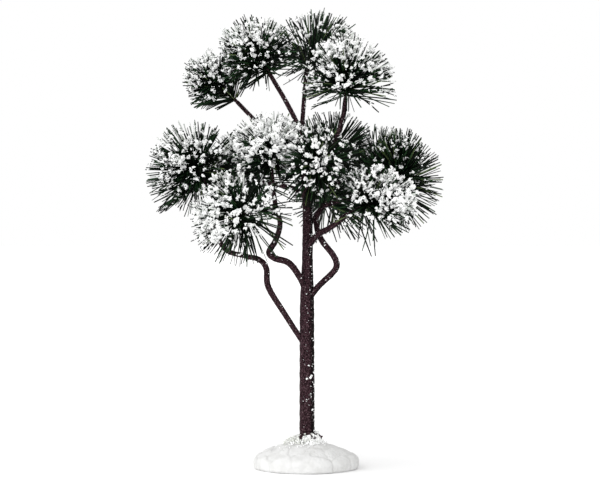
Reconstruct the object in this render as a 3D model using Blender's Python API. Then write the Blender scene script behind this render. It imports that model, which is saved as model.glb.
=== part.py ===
"""A model mountain pine for a winter display, about 230 mm tall, on a round mound of plaster snow.

A straight trunk of bundled wire stands in the mound and forks near its top. Bent wire boughs leave it
on all sides, and each ends in a tuft of long needles that stand out round a short stem. Snow lies in
lumps near the ends of the needles that face up and outwards.

The frame has +Z up. The front faces -Y, so +X is to the right as the tree is seen from its front.
The origin is the centre of the mound's flat underside. Routes and outlines are given in millimetres
and turned into metres by one factor. Run it with: blender --background --python part.py
"""

import math
import random
from dataclasses import dataclass

import bmesh
import bpy
from mathutils import Vector
from mathutils.bvhtree import BVHTree
from mathutils.geometry import intersect_point_line

MM = 0.001
CLEARANCE = 0.3 * MM  # left between two pieces that sit against each other
SEED = 23

# The mound of snow that the tree stands in.
MOUND_PROFILE = (  # radius and height of its outer side, from the underside up, in mm
    (25.0, 0.0),
    (25.9, 0.8),
    (26.0, 3.6),
    (25.4, 5.4),
    (23.9, 6.9),
    (20.4, 8.8),
    (15.0, 11.4),
    (10.4, 12.9),
)
MOUND_TOP = 13.6 * MM
MOUND_SIDES = 44
MOUND_SWELL = 0.009  # how far the outline swells and draws in, as a share of its radius
MOUND_FOLDS = 0.5 * MM  # height of the soft folds on its shoulder
MOUND_SMOOTH_INSIDE = 13.0 * MM  # the folds fade out inside this radius, under the collar
MOUND_FADE = 9.0 * MM  # distance over which they do
MOUND_FOLD_PITCH = 4.0 * MM  # how fast the folds change from the rim inwards
SOCKET_RADIUS = 4.1 * MM
SOCKET_FLOOR = 5.0 * MM
SOCKET_LIP = 0.25 * MM  # how far its mouth is broken at the edge

# The ring of loose snow heaped round the trunk's foot, higher on the right and wider on the left.
COLLAR_SIDES = 24
COLLAR_OUTER = 9.6 * MM
COLLAR_OFFSET = -2.4 * MM
COLLAR_CREST = 3.7 * MM  # height of its ridge above the mound
COLLAR_TILT = 1.3 * MM
COLLAR_LUMPS = 0.7 * MM
COLLAR_FREE = 0.45 * MM  # left between the collar and the trunk
COLLAR_LIFT = 0.42 * MM  # and between the collar and the mound's smooth profile
COLLAR_PROFILE = (  # share of the way across it, share of its ridge's height
    (0.0, 0.0),
    (0.0, 0.8),
    (0.3, 1.0),
    (0.75, 0.55),
    (1.0, 0.15),
    (0.96, 0.0),
)

# Limbs: bundled wire wrapped in bark-coloured thread.
TRUNK_SIDES = 12
BOUGH_SIDES = 8
TRUNK_STEP = 11.0 * MM  # distance between the trunk's rings
BOUGH_STEP = 4.2 * MM
CREASE = math.radians(50)  # edges sharper than this stay sharp

# Tufts: needles round a short stem, which swells into a slim core.
STEM_KNEE = 0.4  # how far a stem runs straight on from its bough before it turns to its tip
CORE_SIDES = 8
CORE_RADIUS = 3.6 * MM
CORE_PROFILE = (  # share of the way along the stem, share of the core's radius
    (0.0, 0.30),
    (0.10, 0.42),
    (0.30, 0.92),
    (0.60, 1.0),
    (0.88, 0.74),
    (1.0, 0.30),
)
NEEDLE_COUNT = 60
NEEDLE_WIDTH = 1.15 * MM
NEEDLE_SIDES = 3
NEEDLE_FIRST = 0.96  # the foremost needle's place along the stem
NEEDLE_LAST = 0.2
NEEDLE_SUNK = 1.9 * MM  # depth of a needle's root under the core's side
NEEDLE_SUNK_LEAST = 0.2 * MM  # from the stem's centre
NEEDLE_VARIES = 0.09  # share by which needle lengths differ
NEEDLE_TURNS = 0.2  # radians by which a needle strays round the stem
NEEDLE_LEANS = 0.02
NEEDLE_SHORTEST = 0.45  # a needle cut back to less than this share is left out
NEEDLE_TESTS = 14  # places along a needle where its room is tested
NEEDLE_FIRST_TEST = 3  # the first of them that is clear of the core
NEEDLE_REACH = 0.6  # a needle's half width at its root, as a share of its width
FOREMOST_LEAN = math.radians(11)  # between the foremost needles and the stem
NEEDLES_GATHER = 1.3  # over 1, the needles crowd towards the front
GOLDEN_ANGLE = math.pi * (3.0 - math.sqrt(5.0))

# Snow on the needles.
SNOW_FROM_ABOVE = 0.6  # how much the sky counts beside the way that a tuft faces
SNOW_FACING = 0.45  # a needle that faces the snow by more than this cosine can carry a lump
SNOW_SHARE = 0.62  # the share of those that do
LUMP_RADIUS = 1.35 * MM
PLAIN_NEEDLE = ((0.0, NEEDLE_WIDTH / 2),)  # share of its length, radius; it runs out to a point
LUMP_NECK = 0.45 * MM  # the needle's radius where its lump starts
LADEN_NEEDLE = ((0.0, NEEDLE_WIDTH / 2), (0.68, LUMP_NECK), (0.85, LUMP_RADIUS))


@dataclass(frozen=True)
class Limb:
    """A limb along a smooth route through a few points, with its widths from foot to tip."""

    name: str
    route: tuple  # points in mm; a bough's first point lies inside the limb that it grows from
    widths: tuple  # in mm, evenly spread over the route's points
    grows_from: tuple = ("trunk",)
    splits: tuple = ()  # the route points where a bend divides it
    piece_names: tuple = ()  # the names of the pieces between those splits


@dataclass(frozen=True)
class Tuft:
    """A tuft of needles at a bough's tip: where its stem ends, and how its needles stand."""

    name: str  # also its bough's name
    tip: tuple  # in mm
    needle: float  # needle length in mm
    sweep: float  # degrees from the stem's direction back to the rearmost needles


@dataclass(frozen=True)
class Stem:
    """The curve of a tuft's stem: straight on from its bough's tip, then bending to the tuft's tip."""

    root: Vector
    knee: Vector
    tip: Vector

    def place(self, share):
        """The point at a share of the way along."""
        return (
            self.root * (1 - share) ** 2 + self.knee * 2 * share * (1 - share) + self.tip * share**2
        )

    def direction(self, share):
        """The unit direction at a share of the way along."""
        return ((self.knee - self.root) * (1 - share) + (self.tip - self.knee) * share).normalized()

    def distance(self, point):
        """The distance from a point to the straight stretch between the stem's ends."""
        nearest, share = intersect_point_line(point, self.root, self.tip)
        if share <= 0:
            nearest = self.root
        elif share >= 1:
            nearest = self.tip
        return (point - nearest).length


TRUNK = Limb(
    "trunk",
    (
        (0.5, 0, 5.3),
        (0.5, 0, 40),
        (0.5, 0, 80),
        (0.7, 0, 103),
        (0.7, 0, 130),
        (-0.8, 0, 154),
        (-2.7, 0, 171),
    ),
    (7.5, 7.5, 7.2, 5.5, 4.8, 4.3, 3.5),
    grows_from=(),
)

BOUGHS = (
    Limb(
        "low_left",
        (
            (0.5, 0, 59),
            (-3.1, -0.5, 65.3),
            (-12.5, -2, 80),
            (-18.9, -2, 90.8),
            (-19.8, -2, 99.8),
            (-23.4, -2, 104.2),
            (-30, -2, 106),
            (-40.5, 2, 109.5),
            (-47, 5.5, 123),
            (-50, 6, 140),
        ),
        (2.6, 3.1, 2.6, 2.2),
        splits=(4,),
        piece_names=("low_left_lower", "low_left_outer"),
    ),
    Limb(
        "mid_left",
        (
            (0.5, 0, 87.5),
            (-3.4, -3, 96),
            (-8.6, -5, 102.6),
            (-15.6, -5, 105),
            (-18.3, -5, 108),
            (-15.2, -5, 113.8),
            (-12.9, -5, 122),
            (-15.2, -5, 131.5),
            (-17.2, -6.5, 148),
        ),
        (3.2, 3.3, 3.2, 2.6, 2.1),
        splits=(3,),
        piece_names=("mid_left_lower", "mid_left_upper"),
    ),
    Limb(
        "low_right",
        (
            (0.5, 0, 83.5),
            (6, -1.4, 90.6),
            (13.2, -2, 97.6),
            (15.3, -2, 101.6),
            (13.6, -2, 106.4),
            (8.4, -1, 113),
            (5.6, 2.4, 119.5),
            (5.8, 5.6, 126.5),
            (13, 7, 132.6),
            (40.4, 5, 138),
        ),
        (3.0, 3.2, 2.9, 2.2),
        splits=(3, 7),
        piece_names=("low_right_lower", "low_right_middle", "low_right_outer"),
    ),
    Limb(
        "front_left",
        ((-15, -5, 130), (-19.8, -10.5, 130.6), (-24.2, -15.5, 129.8)),
        (2.0, 1.9),
        ("mid_left",),
    ),
    Limb(
        "front_right",
        ((0.7, 0, 105.5), (1.4, -4.4, 111.2), (6.4, -8, 117), (11.8, -10.4, 120), (22, -14.6, 127.6)),
        (3.2, 3.3, 3.0, 2.4),
    ),
    Limb("front_centre", ((0.5, 0, 135), (1.2, -4.6, 142), (3.4, -10.4, 147.6)), (2.4, 2.1)),
    Limb("back_centre", ((0.7, 0, 112), (1.2, 6.2, 120), (8.2, 12.4, 131)), (2.6, 2.2)),
    Limb("upper_left", ((-2.4, 0, 168), (-8.5, -1, 180.4), (-17.8, -2, 196.4)), (2.5, 2.2)),
    Limb(
        "top",
        ((-2.3, 0.2, 168.5), (-1.5, 2.6, 177.5), (-0.8, 4.6, 187), (0.2, 7.6, 198)),
        (2.3, 2.1),
        ("trunk", "upper_left"),
    ),
    Limb("top_left", ((0.1, 0, 146), (-10.5, 5, 158.4), (-34.6, 11.8, 183.6)), (2.5, 2.1)),
    Limb(
        "upper_right",
        ((0.3, 0, 143.5), (8.6, -2.4, 152), (14.6, -3.6, 163), (18.4, -4, 175), (19.6, -6.8, 184.2)),
        (2.9, 2.8, 2.3),
    ),
    Limb("centre_right", ((0.4, 0, 140), (3.6, 5, 147), (7.8, 9.6, 152.6)), (2.4, 2.1)),
    Limb("back_left", ((0.5, 0, 134), (-6, 8, 140), (-21.6, 21.4, 143.4)), (2.4, 2.0)),
    Limb("back_right", ((0.6, 0, 131), (8.6, 8.4, 140), (28, 23.4, 145.8)), (2.4, 2.0)),
)

TUFTS = (
    Tuft("top_left", (-44, 9, 192), 21, 68),
    Tuft("upper_left", (-24.5, -8, 205.5), 23, 98),
    Tuft("top", (7.5, 17, 210), 25, 92),
    Tuft("upper_right", (19.2, -13.5, 192.7), 26.5, 90),
    Tuft("low_left", (-56, -10.5, 150), 28, 106),
    Tuft("front_left", (-34.5, -31, 124), 27, 98),
    Tuft("mid_left", (-16.5, -17, 157.5), 24, 104),
    Tuft("centre_right", (15, 20, 158), 25, 100),
    Tuft("front_centre", (5, -27, 151), 25, 96),
    Tuft("front_right", (34, -27, 131.5), 25.5, 90),
    Tuft("low_right", (46.5, -4, 148), 24.5, 105),
    Tuft("back_centre", (14.5, 24, 137), 25, 100),
    Tuft("back_left", (-32, 33, 150), 25, 104),
    Tuft("back_right", (40, 36, 153), 25, 104),
)


def clear_scene():
    """Remove every object of the scene that the script starts in."""
    for obj in list(bpy.data.objects):
        bpy.data.objects.remove(obj, do_unlink=True)


def make_material(name, colour, roughness):
    """A plain surface of one colour."""
    material = bpy.data.materials.new(name)
    material.use_nodes = True
    shader = material.node_tree.nodes["Principled BSDF"]
    shader.inputs["Base Color"].default_value = (*colour, 1.0)
    shader.inputs["Roughness"].default_value = roughness
    return material


def new_object(name, mesh_builder, material, collection=None):
    """An object from a finished bmesh, closed and facing outwards, shaded smooth between its creases."""
    bmesh.ops.recalc_face_normals(mesh_builder, faces=mesh_builder.faces)
    mesh = bpy.data.meshes.new(name)
    mesh_builder.to_mesh(mesh)
    mesh_builder.free()
    mesh.shade_smooth()
    mesh.set_sharp_from_angle(angle=CREASE)
    mesh.materials.append(material)
    obj = bpy.data.objects.new(name, mesh)
    (collection or bpy.context.scene.collection).objects.link(obj)
    return obj


def join_rings(builder, rings, closed_ends=True):
    """Faces between neighbouring rings of points, with a face across each end."""
    for lower, upper in zip(rings, rings[1:]):
        count = len(lower)
        for i in range(count):
            j = (i + 1) % count
            builder.faces.new((lower[i], lower[j], upper[j], upper[i]))
    if closed_ends:
        builder.faces.new(rings[0][::-1])
        builder.faces.new(rings[-1])


def through_points(points, step):
    """Evenly spread points on a smooth curve through the given ones, with their place in the list."""
    ends = [points[0] * 2 - points[1], *points, points[-1] * 2 - points[-2]]
    curve = []
    for k in range(len(points) - 1):
        a, b, c, d = ends[k : k + 4]
        parts = max(1, round((c - b).length / step))
        for s in range(parts):
            t = s / parts
            place = 0.5 * (
                2 * b + (c - a) * t + (2 * a - 5 * b + 4 * c - d) * t**2 + (3 * b - a - 3 * c + d) * t**3
            )
            curve.append((place, k + t))
    curve.append((points[-1].copy(), len(points) - 1))
    return curve


def directions_along(points):
    """The unit direction of a line of points at each of them."""
    last = len(points) - 1
    spans = [points[min(i + 1, last)] - points[max(i - 1, 0)] for i in range(last + 1)]
    return [span.normalized() for span in spans]


def tube(name, points, directions, radii, sides, material):
    """A closed round limb along a line of points, with a flat end square to the line at each end."""
    builder = bmesh.new()
    side = directions[0].orthogonal().normalized()
    rings = []
    for point, direction, radius in zip(points, directions, radii):
        side = (side - direction * side.dot(direction)).normalized()
        across = direction.cross(side)
        turns = [math.tau * i / sides for i in range(sides)]
        ring = [point + (side * math.cos(a) + across * math.sin(a)) * radius for a in turns]
        rings.append([builder.verts.new(place) for place in ring])
    join_rings(builder, rings)
    return new_object(name, builder, material)


def width_at(widths, share):
    """The width at a share of the way along a limb, in mm."""
    place = share * (len(widths) - 1)
    k = min(int(place), len(widths) - 2)
    return widths[k] + (widths[k + 1] - widths[k]) * (place - k)


def limb_line(limb):
    """A limb's line of points and radii, with each point's place in the route."""
    step = BOUGH_STEP if limb.grows_from else TRUNK_STEP
    curve = through_points([Vector(p) * MM for p in limb.route], step)
    last = len(limb.route) - 1
    points = [point for point, _ in curve]
    places = [place for _, place in curve]
    radii = [width_at(limb.widths, place / last) * MM / 2 for place in places]
    return points, radii, places


def apply_boolean(obj, operation, solver, operand=None, collection=None):
    """Join or cut an object by another, or by all those of a collection, and keep the result."""
    modifier = obj.modifiers.new("shape", "BOOLEAN")
    modifier.operation = operation
    modifier.solver = solver
    if collection:
        modifier.operand_type = "COLLECTION"
        modifier.collection = collection
    else:
        modifier.object = operand
    bpy.context.view_layer.update()
    evaluated = obj.evaluated_get(bpy.context.evaluated_depsgraph_get())
    mesh = bpy.data.meshes.new_from_object(evaluated)
    obj.modifiers.clear()
    obj.data = mesh
    mesh.shade_smooth()
    mesh.set_sharp_from_angle(angle=CREASE)


def mound_point(radius, height, angle):
    """A point of the mound's side: its outline swells a little, and soft folds lie on its shoulder."""
    if height <= 0:
        return Vector((radius * math.cos(angle), radius * math.sin(angle), 0.0))
    strength = max(0.0, min(1.0, (radius - MOUND_SMOOTH_INSIDE) / MOUND_FADE))
    fold = math.sin(4 * angle + 1.1) * math.sin(radius / MOUND_FOLD_PITCH)
    fold += 0.6 * math.sin(7 * angle + 2.4)
    swell = math.sin(3 * angle + 0.6) + 0.7 * math.sin(5 * angle + 2.1)
    reach = radius * (1 + MOUND_SWELL * strength * swell)
    rise = MOUND_FOLDS * strength * fold
    return Vector((reach * math.cos(angle), reach * math.sin(angle), height + rise))


def make_mound(material):
    """The snow mound, flat underneath, with a blind socket for the trunk in its top."""
    builder = bmesh.new()
    outer = [(radius * MM, height * MM) for radius, height in MOUND_PROFILE]
    turns = [math.tau * i / MOUND_SIDES for i in range(MOUND_SIDES)]
    rings = [[mound_point(radius, height, a) for a in turns] for radius, height in outer]
    foot = TRUNK.route[0][0] * MM
    mouth = (SOCKET_RADIUS + SOCKET_LIP, MOUND_TOP)
    for radius, height in (mouth, (SOCKET_RADIUS, MOUND_TOP - SOCKET_LIP), (SOCKET_RADIUS, SOCKET_FLOOR)):
        rings.append([Vector((foot + radius * math.cos(a), radius * math.sin(a), height)) for a in turns])
    join_rings(builder, [[builder.verts.new(place) for place in ring] for ring in rings])
    return new_object("snow_mound", builder, material)


def mound_height(radius):
    """The height of the mound's smooth top at a radius."""
    profile = [(r * MM, z * MM) for r, z in MOUND_PROFILE] + [(SOCKET_RADIUS, MOUND_TOP)]
    for (r_out, z_out), (r_in, z_in) in zip(profile, profile[1:]):
        if r_in <= radius <= r_out:
            return z_in + (z_out - z_in) * (radius - r_in) / (r_out - r_in)
    return MOUND_TOP


def make_collar(material):
    """The heap of loose snow round the trunk's foot: a lumpy ring that lies on the mound."""
    builder = bmesh.new()
    inner = TRUNK.widths[0] / 2 * MM + COLLAR_FREE
    foot = TRUNK.route[0][0] * MM
    sections = []
    for i in range(COLLAR_SIDES):
        a = math.tau * i / COLLAR_SIDES
        out = Vector((math.cos(a), math.sin(a), 0))
        lump = math.sin(5 * a + 0.4) + 0.8 * math.sin(9 * a + 2.0)
        outer = COLLAR_OUTER + COLLAR_OFFSET * math.cos(a) + COLLAR_LUMPS * lump / 2
        crest = COLLAR_CREST + COLLAR_TILT * math.cos(a) + COLLAR_LUMPS * math.sin(7 * a + 1.0)
        profile = [(inner + (outer - inner) * across, crest * up) for across, up in COLLAR_PROFILE]
        section = []
        for radius, rise in profile:
            place = out * radius + Vector((foot, 0, 0))
            place.z = mound_height(place.length) + COLLAR_LIFT + rise
            section.append(builder.verts.new(place))
        sections.append(section)
    join_rings(builder, [*sections, sections[0]], closed_ends=False)
    return new_object("snow_collar", builder, material)


def make_limbs(material):
    """The trunk and the boughs. Each bough is cut to sit against the limb that it grows from."""
    lines, cutters, objects = {}, {}, []
    for limb in (TRUNK, *BOUGHS):
        points, radii, places = limb_line(limb)
        sides = BOUGH_SIDES if limb.grows_from else TRUNK_SIDES
        aims = directions_along(points)
        fat_points = [
            points[0] - aims[0] * CLEARANCE,
            *points[1:-1],
            points[-1] + aims[-1] * CLEARANCE,
        ]
        fat_radii = [radius + CLEARANCE / math.cos(math.pi / sides) for radius in radii]
        cutter = tube(f"cutter_{limb.name}", fat_points, aims, fat_radii, sides, material)
        cutter.hide_render = True
        cutter.display_type = "WIRE"
        cutters[limb.name] = cutter
        lines[limb.name] = points
        cuts = [0, *(places.index(split) for split in limb.splits), len(points) - 1]
        for k, (start, end) in enumerate(zip(cuts, cuts[1:])):
            piece_points = [point.copy() for point in points[start : end + 1]]
            if start > 0:
                piece_points[0] += aims[start] * CLEARANCE / 2
            if end < len(points) - 1:
                piece_points[-1] -= aims[end] * CLEARANCE / 2
            name = limb.piece_names[k] if limb.piece_names else limb.name
            name = f"bough_{name}" if limb.grows_from else name
            span = slice(start, end + 1)
            piece = tube(name, piece_points, aims[span], radii[span], sides, material)
            for parent in limb.grows_from if k == 0 else ():
                apply_boolean(piece, "DIFFERENCE", "EXACT", operand=cutters[parent])
            objects.append(piece)
    for cutter in cutters.values():
        bpy.data.objects.remove(cutter, do_unlink=True)
    return lines, objects


def stem_of(tuft, lines):
    """A tuft's stem, a clearance beyond its bough's tip."""
    line = lines[tuft.name]
    onward = (line[-1] - line[-2]).normalized()
    root = line[-1] + onward * CLEARANCE
    tip = Vector(tuft.tip) * MM
    return Stem(root, root + onward * (tip - root).length * STEM_KNEE, tip)


def core_radius_at(share):
    """The radius of a tuft's core at a share of the way along its stem."""
    for (low, small), (high, large) in zip(CORE_PROFILE, CORE_PROFILE[1:]):
        if share <= high:
            return CORE_RADIUS * (small + (large - small) * (share - low) / (high - low))
    return CORE_RADIUS * CORE_PROFILE[-1][1]


def catches_snow(stem, direction):
    """Whether a needle that points this way faces the snow, which lies on a tuft's front and top."""
    front = (stem.tip - stem.root).normalized() + Vector((0.0, 0.0, SNOW_FROM_ABOVE))
    return direction.dot(front.normalized()) > SNOW_FACING


def needle_length(start, direction, wanted, laden, stem, other_stems, limbs):
    """How long a needle can be: it ends where another tuft's space begins, and is left out at a limb."""
    step = wanted / NEEDLE_TESTS
    for k in range(NEEDLE_FIRST_TEST, NEEDLE_TESTS + 1):
        point = start + direction * step * k
        half = NEEDLE_WIDTH * NEEDLE_REACH * (1 - k / (NEEDLE_TESTS + 1))
        half = (max(half, LUMP_RADIUS) if laden else half) + CLEARANCE
        if limbs.find_nearest(point, half + step / 2)[0] is not None:
            return 0.0
        own = stem.distance(point)
        if any(own + 2 * half > other.distance(point) for other in other_stems):
            return step * (k - 1)
    return wanted


def add_needle(start, direction, length, turn, profile, material, collection):
    """A thin three-sided needle from its sunk root to a point, with a lump where its profile swells."""
    builder = bmesh.new()
    side = direction.orthogonal().normalized()
    across = direction.cross(side)
    rings = []
    for share, radius in profile:
        ring = []
        for i in range(NEEDLE_SIDES):
            a = turn + math.tau * i / NEEDLE_SIDES
            outward = side * math.cos(a) + across * math.sin(a)
            ring.append(builder.verts.new(start + direction * length * share + outward * radius))
        rings.append(ring)
    join_rings(builder, rings, closed_ends=False)
    point = builder.verts.new(start + direction * length)
    last = rings[-1]
    for i in range(NEEDLE_SIDES):
        builder.faces.new((last[i], last[(i + 1) % NEEDLE_SIDES], point))
    builder.faces.new(rings[0][::-1])
    new_object("needle", builder, material, collection)


def make_tuft(tuft, stems, limbs, material):
    """A tuft of snowy needles: spikes all round a slim core, joined to it in one solid."""
    stem = stems[tuft.name]
    other_stems = [other for name, other in stems.items() if name != tuft.name]
    shares = [share for share, _ in CORE_PROFILE]
    core_points = [stem.place(share) for share in shares]
    core_radii = [core_radius_at(share) for share in shares]
    aims = [stem.direction(share) for share in shares]
    core = tube(f"tuft_{tuft.name}", core_points, aims, core_radii, CORE_SIDES, material)
    spikes = bpy.data.collections.new(f"needles_{tuft.name}")
    bpy.context.scene.collection.children.link(spikes)
    chance = random.Random(f"{SEED} {tuft.name}")
    foremost, rearmost = math.cos(FOREMOST_LEAN), math.cos(math.radians(tuft.sweep))
    for i in range(NEEDLE_COUNT):
        spread = (i + 0.5) / NEEDLE_COUNT
        share = NEEDLE_FIRST + (NEEDLE_LAST - NEEDLE_FIRST) * spread
        centre, forward = stem.place(share), stem.direction(share)
        lean_cos = foremost + (rearmost - foremost) * spread**NEEDLES_GATHER
        lean_cos += chance.uniform(-NEEDLE_LEANS, 0)
        turn = i * GOLDEN_ANGLE + chance.uniform(-NEEDLE_TURNS, NEEDLE_TURNS)
        side = forward.orthogonal().normalized()
        outward = side * math.cos(turn) + forward.cross(side) * math.sin(turn)
        direction = forward * lean_cos + outward * math.sqrt(1 - lean_cos**2)
        wanted = tuft.needle * MM * (1 + chance.uniform(-NEEDLE_VARIES, NEEDLE_VARIES))
        sunk = max(NEEDLE_SUNK_LEAST, core_radius_at(share) - NEEDLE_SUNK)
        start = centre + direction * sunk
        laden = catches_snow(stem, direction) and chance.random() < SNOW_SHARE
        length = needle_length(start, direction, wanted - sunk, laden, stem, other_stems, limbs)
        if length >= wanted * NEEDLE_SHORTEST:
            profile = LADEN_NEEDLE if laden else PLAIN_NEEDLE
            add_needle(start, direction, length, chance.uniform(0, math.tau), profile, material, spikes)
    apply_boolean(core, "UNION", "EXACT", collection=spikes)
    for spike in list(spikes.objects):
        bpy.data.objects.remove(spike, do_unlink=True)
    bpy.data.collections.remove(spikes)
    return core


def tree_of_surfaces(objects):
    """One search tree over the surfaces of several objects."""
    builder = bmesh.new()
    for obj in objects:
        builder.from_mesh(obj.data)
    tree = BVHTree.FromBMesh(builder)
    builder.free()
    return tree


def main():
    """Build the whole tree on its mound."""
    clear_scene()
    snow = make_material("snow_plaster", (0.86, 0.86, 0.84), 0.75)
    loose_snow = make_material("loose_snow", (0.90, 0.90, 0.89), 0.9)
    bark = make_material("wrapped_bark", (0.030, 0.014, 0.017), 0.8)
    needles = make_material("needle_green", (0.018, 0.050, 0.020), 0.6)
    mound = make_mound(snow)
    collar = make_collar(loose_snow)
    lines, limb_objects = make_limbs(bark)
    limbs = tree_of_surfaces([mound, collar, *limb_objects])
    stems = {tuft.name: stem_of(tuft, lines) for tuft in TUFTS}
    for tuft in TUFTS:
        make_tuft(tuft, stems, limbs, needles)


main()
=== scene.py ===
"""The looks of a model mountain pine, about 230 mm tall, on a round mound of plaster snow.

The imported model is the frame. Each piece here stands where its solids stand and is made finer by the
same rules: limbs of wire wound with crepe tape, tufts of long plastic needles round short stems, snow
flocked onto the needles, a cast mound of snowy slabs, and loose granules round the trunk's foot.

The frame has +Z up, the front faces -Y, and the origin is the centre of the mound's underside. Sizes are
given in millimetres and turned into metres by one factor.
"""

from __future__ import annotations

import logging
import math
import random
from collections.abc import Iterable, Sequence
from dataclasses import dataclass, field, replace
from enum import Enum

import bmesh
import bpy
import numpy as np
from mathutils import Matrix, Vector, noise
from mathutils.bvhtree import BVHTree
from mathutils.geometry import intersect_point_line


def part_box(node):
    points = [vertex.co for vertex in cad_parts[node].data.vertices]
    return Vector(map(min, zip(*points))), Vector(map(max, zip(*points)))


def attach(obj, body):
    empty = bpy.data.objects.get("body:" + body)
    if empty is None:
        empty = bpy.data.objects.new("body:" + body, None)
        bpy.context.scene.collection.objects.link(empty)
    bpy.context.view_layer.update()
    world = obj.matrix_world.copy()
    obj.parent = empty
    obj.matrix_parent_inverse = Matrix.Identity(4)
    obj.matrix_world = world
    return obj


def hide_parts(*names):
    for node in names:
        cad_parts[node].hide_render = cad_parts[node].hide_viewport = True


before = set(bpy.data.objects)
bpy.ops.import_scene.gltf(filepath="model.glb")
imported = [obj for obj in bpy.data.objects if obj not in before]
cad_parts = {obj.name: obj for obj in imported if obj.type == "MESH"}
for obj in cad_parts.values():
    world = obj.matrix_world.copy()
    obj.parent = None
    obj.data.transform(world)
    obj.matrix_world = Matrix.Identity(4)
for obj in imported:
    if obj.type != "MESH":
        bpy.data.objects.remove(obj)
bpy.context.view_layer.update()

Place = tuple[float, float, float]
Colour = tuple[float, float, float]
Span = tuple[float, float]

MM = 0.001
SEED = 23
BODY = "root"
GOLDEN_ANGLE = math.pi * (3.0 - math.sqrt(5.0))
WOUND_UV = "wound"  # the limbs' own map: once round is 1, and so is WOUND_LENGTH along
WOUND_LENGTH = 200.0 * MM
FOOT_DOME = 0.4  # how far a tube's ends bulge, as a share of its radius there
TIP_DOME = 0.6
UPWARDS = Vector((0.0, 0.0, 1.0))
HELPERS = ("axis", "size", "stretch", "girth", "turn", "tone", "frost")  # what only the rules read

log = logging.getLogger("mountain_pine")


# ---------------------------------------------------------------------------------------------------
# Node trees


class Wiring:
    """A node tree under construction."""

    def __init__(self, tree: bpy.types.NodeTree) -> None:
        """Keep the tree that the nodes go into.

        Args:
            tree: An empty or partly built node tree.
        """
        self.tree = tree

    @staticmethod
    def socket(sockets: Iterable[bpy.types.NodeSocket], name: str | int) -> bpy.types.NodeSocket:
        """Find a socket that is in use.

        Args:
            sockets: A node's inputs or outputs.
            name: The socket's name, or its index where names repeat.

        Returns:
            The socket.
        """
        if isinstance(name, int):
            return list(sockets)[name]
        return next(s for s in sockets if s.enabled and s.name == name)

    def add(self, kind: str, inputs: dict | None = None, **settings: object) -> bpy.types.Node:
        """Add a node, set it up and wire its inputs.

        Args:
            kind: The node's type name.
            inputs: Values or other nodes' output sockets, by input name or index.
            **settings: The node's own properties.

        Returns:
            The new node.
        """
        node = self.tree.nodes.new(kind)
        for name, value in settings.items():
            setattr(node, name, value)
        for name, value in (inputs or {}).items():
            target = self.socket(node.inputs, name)
            if isinstance(value, bpy.types.NodeSocket):
                self.tree.links.new(value, target)
            else:
                target.default_value = value
        return node

    def out(
        self, kind: str, inputs: dict | None = None, output: str | int = 0, **settings: object
    ) -> bpy.types.NodeSocket:
        """Add a node and take one of its outputs.

        Args:
            kind: The node's type name.
            inputs: Values or sockets for its inputs.
            output: The output's name or index.
            **settings: The node's own properties.

        Returns:
            The output socket.
        """
        return self.socket(self.add(kind, inputs, **settings).outputs, output)

    def math(self, operation: str, first: object, second: object = 0.0) -> bpy.types.NodeSocket:
        """The output of a Math node over two values or sockets."""
        return self.out("ShaderNodeMath", {0: first, 1: second}, operation=operation)


class GeometryRule(Wiring):
    """A Geometry Nodes tree with named inputs, and the way to turn its result into a plain mesh."""

    def __init__(self, name: str, inputs: dict[str, tuple[str, object]]) -> None:
        """Start the tree with its geometry sockets and its named inputs.

        Args:
            name: The tree's name.
            inputs: For each input its socket type and its default, or None for a material.
        """
        super().__init__(bpy.data.node_groups.new(name, "GeometryNodeTree"))
        interface = self.tree.interface
        interface.new_socket("Geometry", in_out="INPUT", socket_type="NodeSocketGeometry")
        interface.new_socket("Geometry", in_out="OUTPUT", socket_type="NodeSocketGeometry")
        self.identifiers: dict[str, str] = {}
        for label, (kind, default) in inputs.items():
            socket = interface.new_socket(label, in_out="INPUT", socket_type=kind)
            if default is not None:
                socket.default_value = default
            self.identifiers[label] = socket.identifier
        self.start = self.tree.nodes.new("NodeGroupInput")

    def given(self, name: str) -> bpy.types.NodeSocket:
        """The output that carries a named input."""
        return self.start.outputs[name]

    def attribute(self, name: str, kind: str = "FLOAT") -> bpy.types.NodeSocket:
        """The value of a point's own attribute."""
        return self.out("GeometryNodeInputNamedAttribute", {"Name": name}, data_type=kind)

    def finish(self, geometry: bpy.types.NodeSocket) -> None:
        """Wire the last geometry to the tree's output.

        Args:
            geometry: The output socket of the last node.
        """
        end = self.tree.nodes.new("NodeGroupOutput")
        self.tree.links.new(geometry, end.inputs["Geometry"])

    def apply(self, obj: bpy.types.Object, values: dict[str, object]) -> None:
        """Run the tree on an object and keep the result as its plain mesh.

        Args:
            obj: A mesh object in the scene.
            values: The named inputs that differ from their defaults.
        """
        modifier = obj.modifiers.new(self.tree.name, "NODES")
        modifier.node_group = self.tree
        for name, value in values.items():
            modifier[self.identifiers[name]] = value
        bpy.context.view_layer.update()
        graph = bpy.context.evaluated_depsgraph_get()
        mesh = bpy.data.meshes.new_from_object(obj.evaluated_get(graph), depsgraph=graph)
        spent = obj.data
        obj.modifiers.clear()
        obj.data = mesh
        bpy.data.meshes.remove(spent)
        mesh.name = obj.name


# ---------------------------------------------------------------------------------------------------
# Finishes


def start_group(name: str, inputs: dict[str, float], output: str) -> Wiring:
    """Start a shader node group that reads a vector and named values and puts out one value.

    Args:
        name: The group's name.
        inputs: The default of each named value.
        output: The output's name.

    Returns:
        The group under construction.
    """
    wiring = Wiring(bpy.data.node_groups.new(name, "ShaderNodeTree"))
    interface = wiring.tree.interface
    interface.new_socket("Vector", in_out="INPUT", socket_type="NodeSocketVector")
    for label, default in inputs.items():
        socket = interface.new_socket(label, in_out="INPUT", socket_type="NodeSocketFloat")
        socket.default_value = default
    interface.new_socket(output, in_out="OUTPUT", socket_type="NodeSocketFloat")
    return wiring


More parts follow.
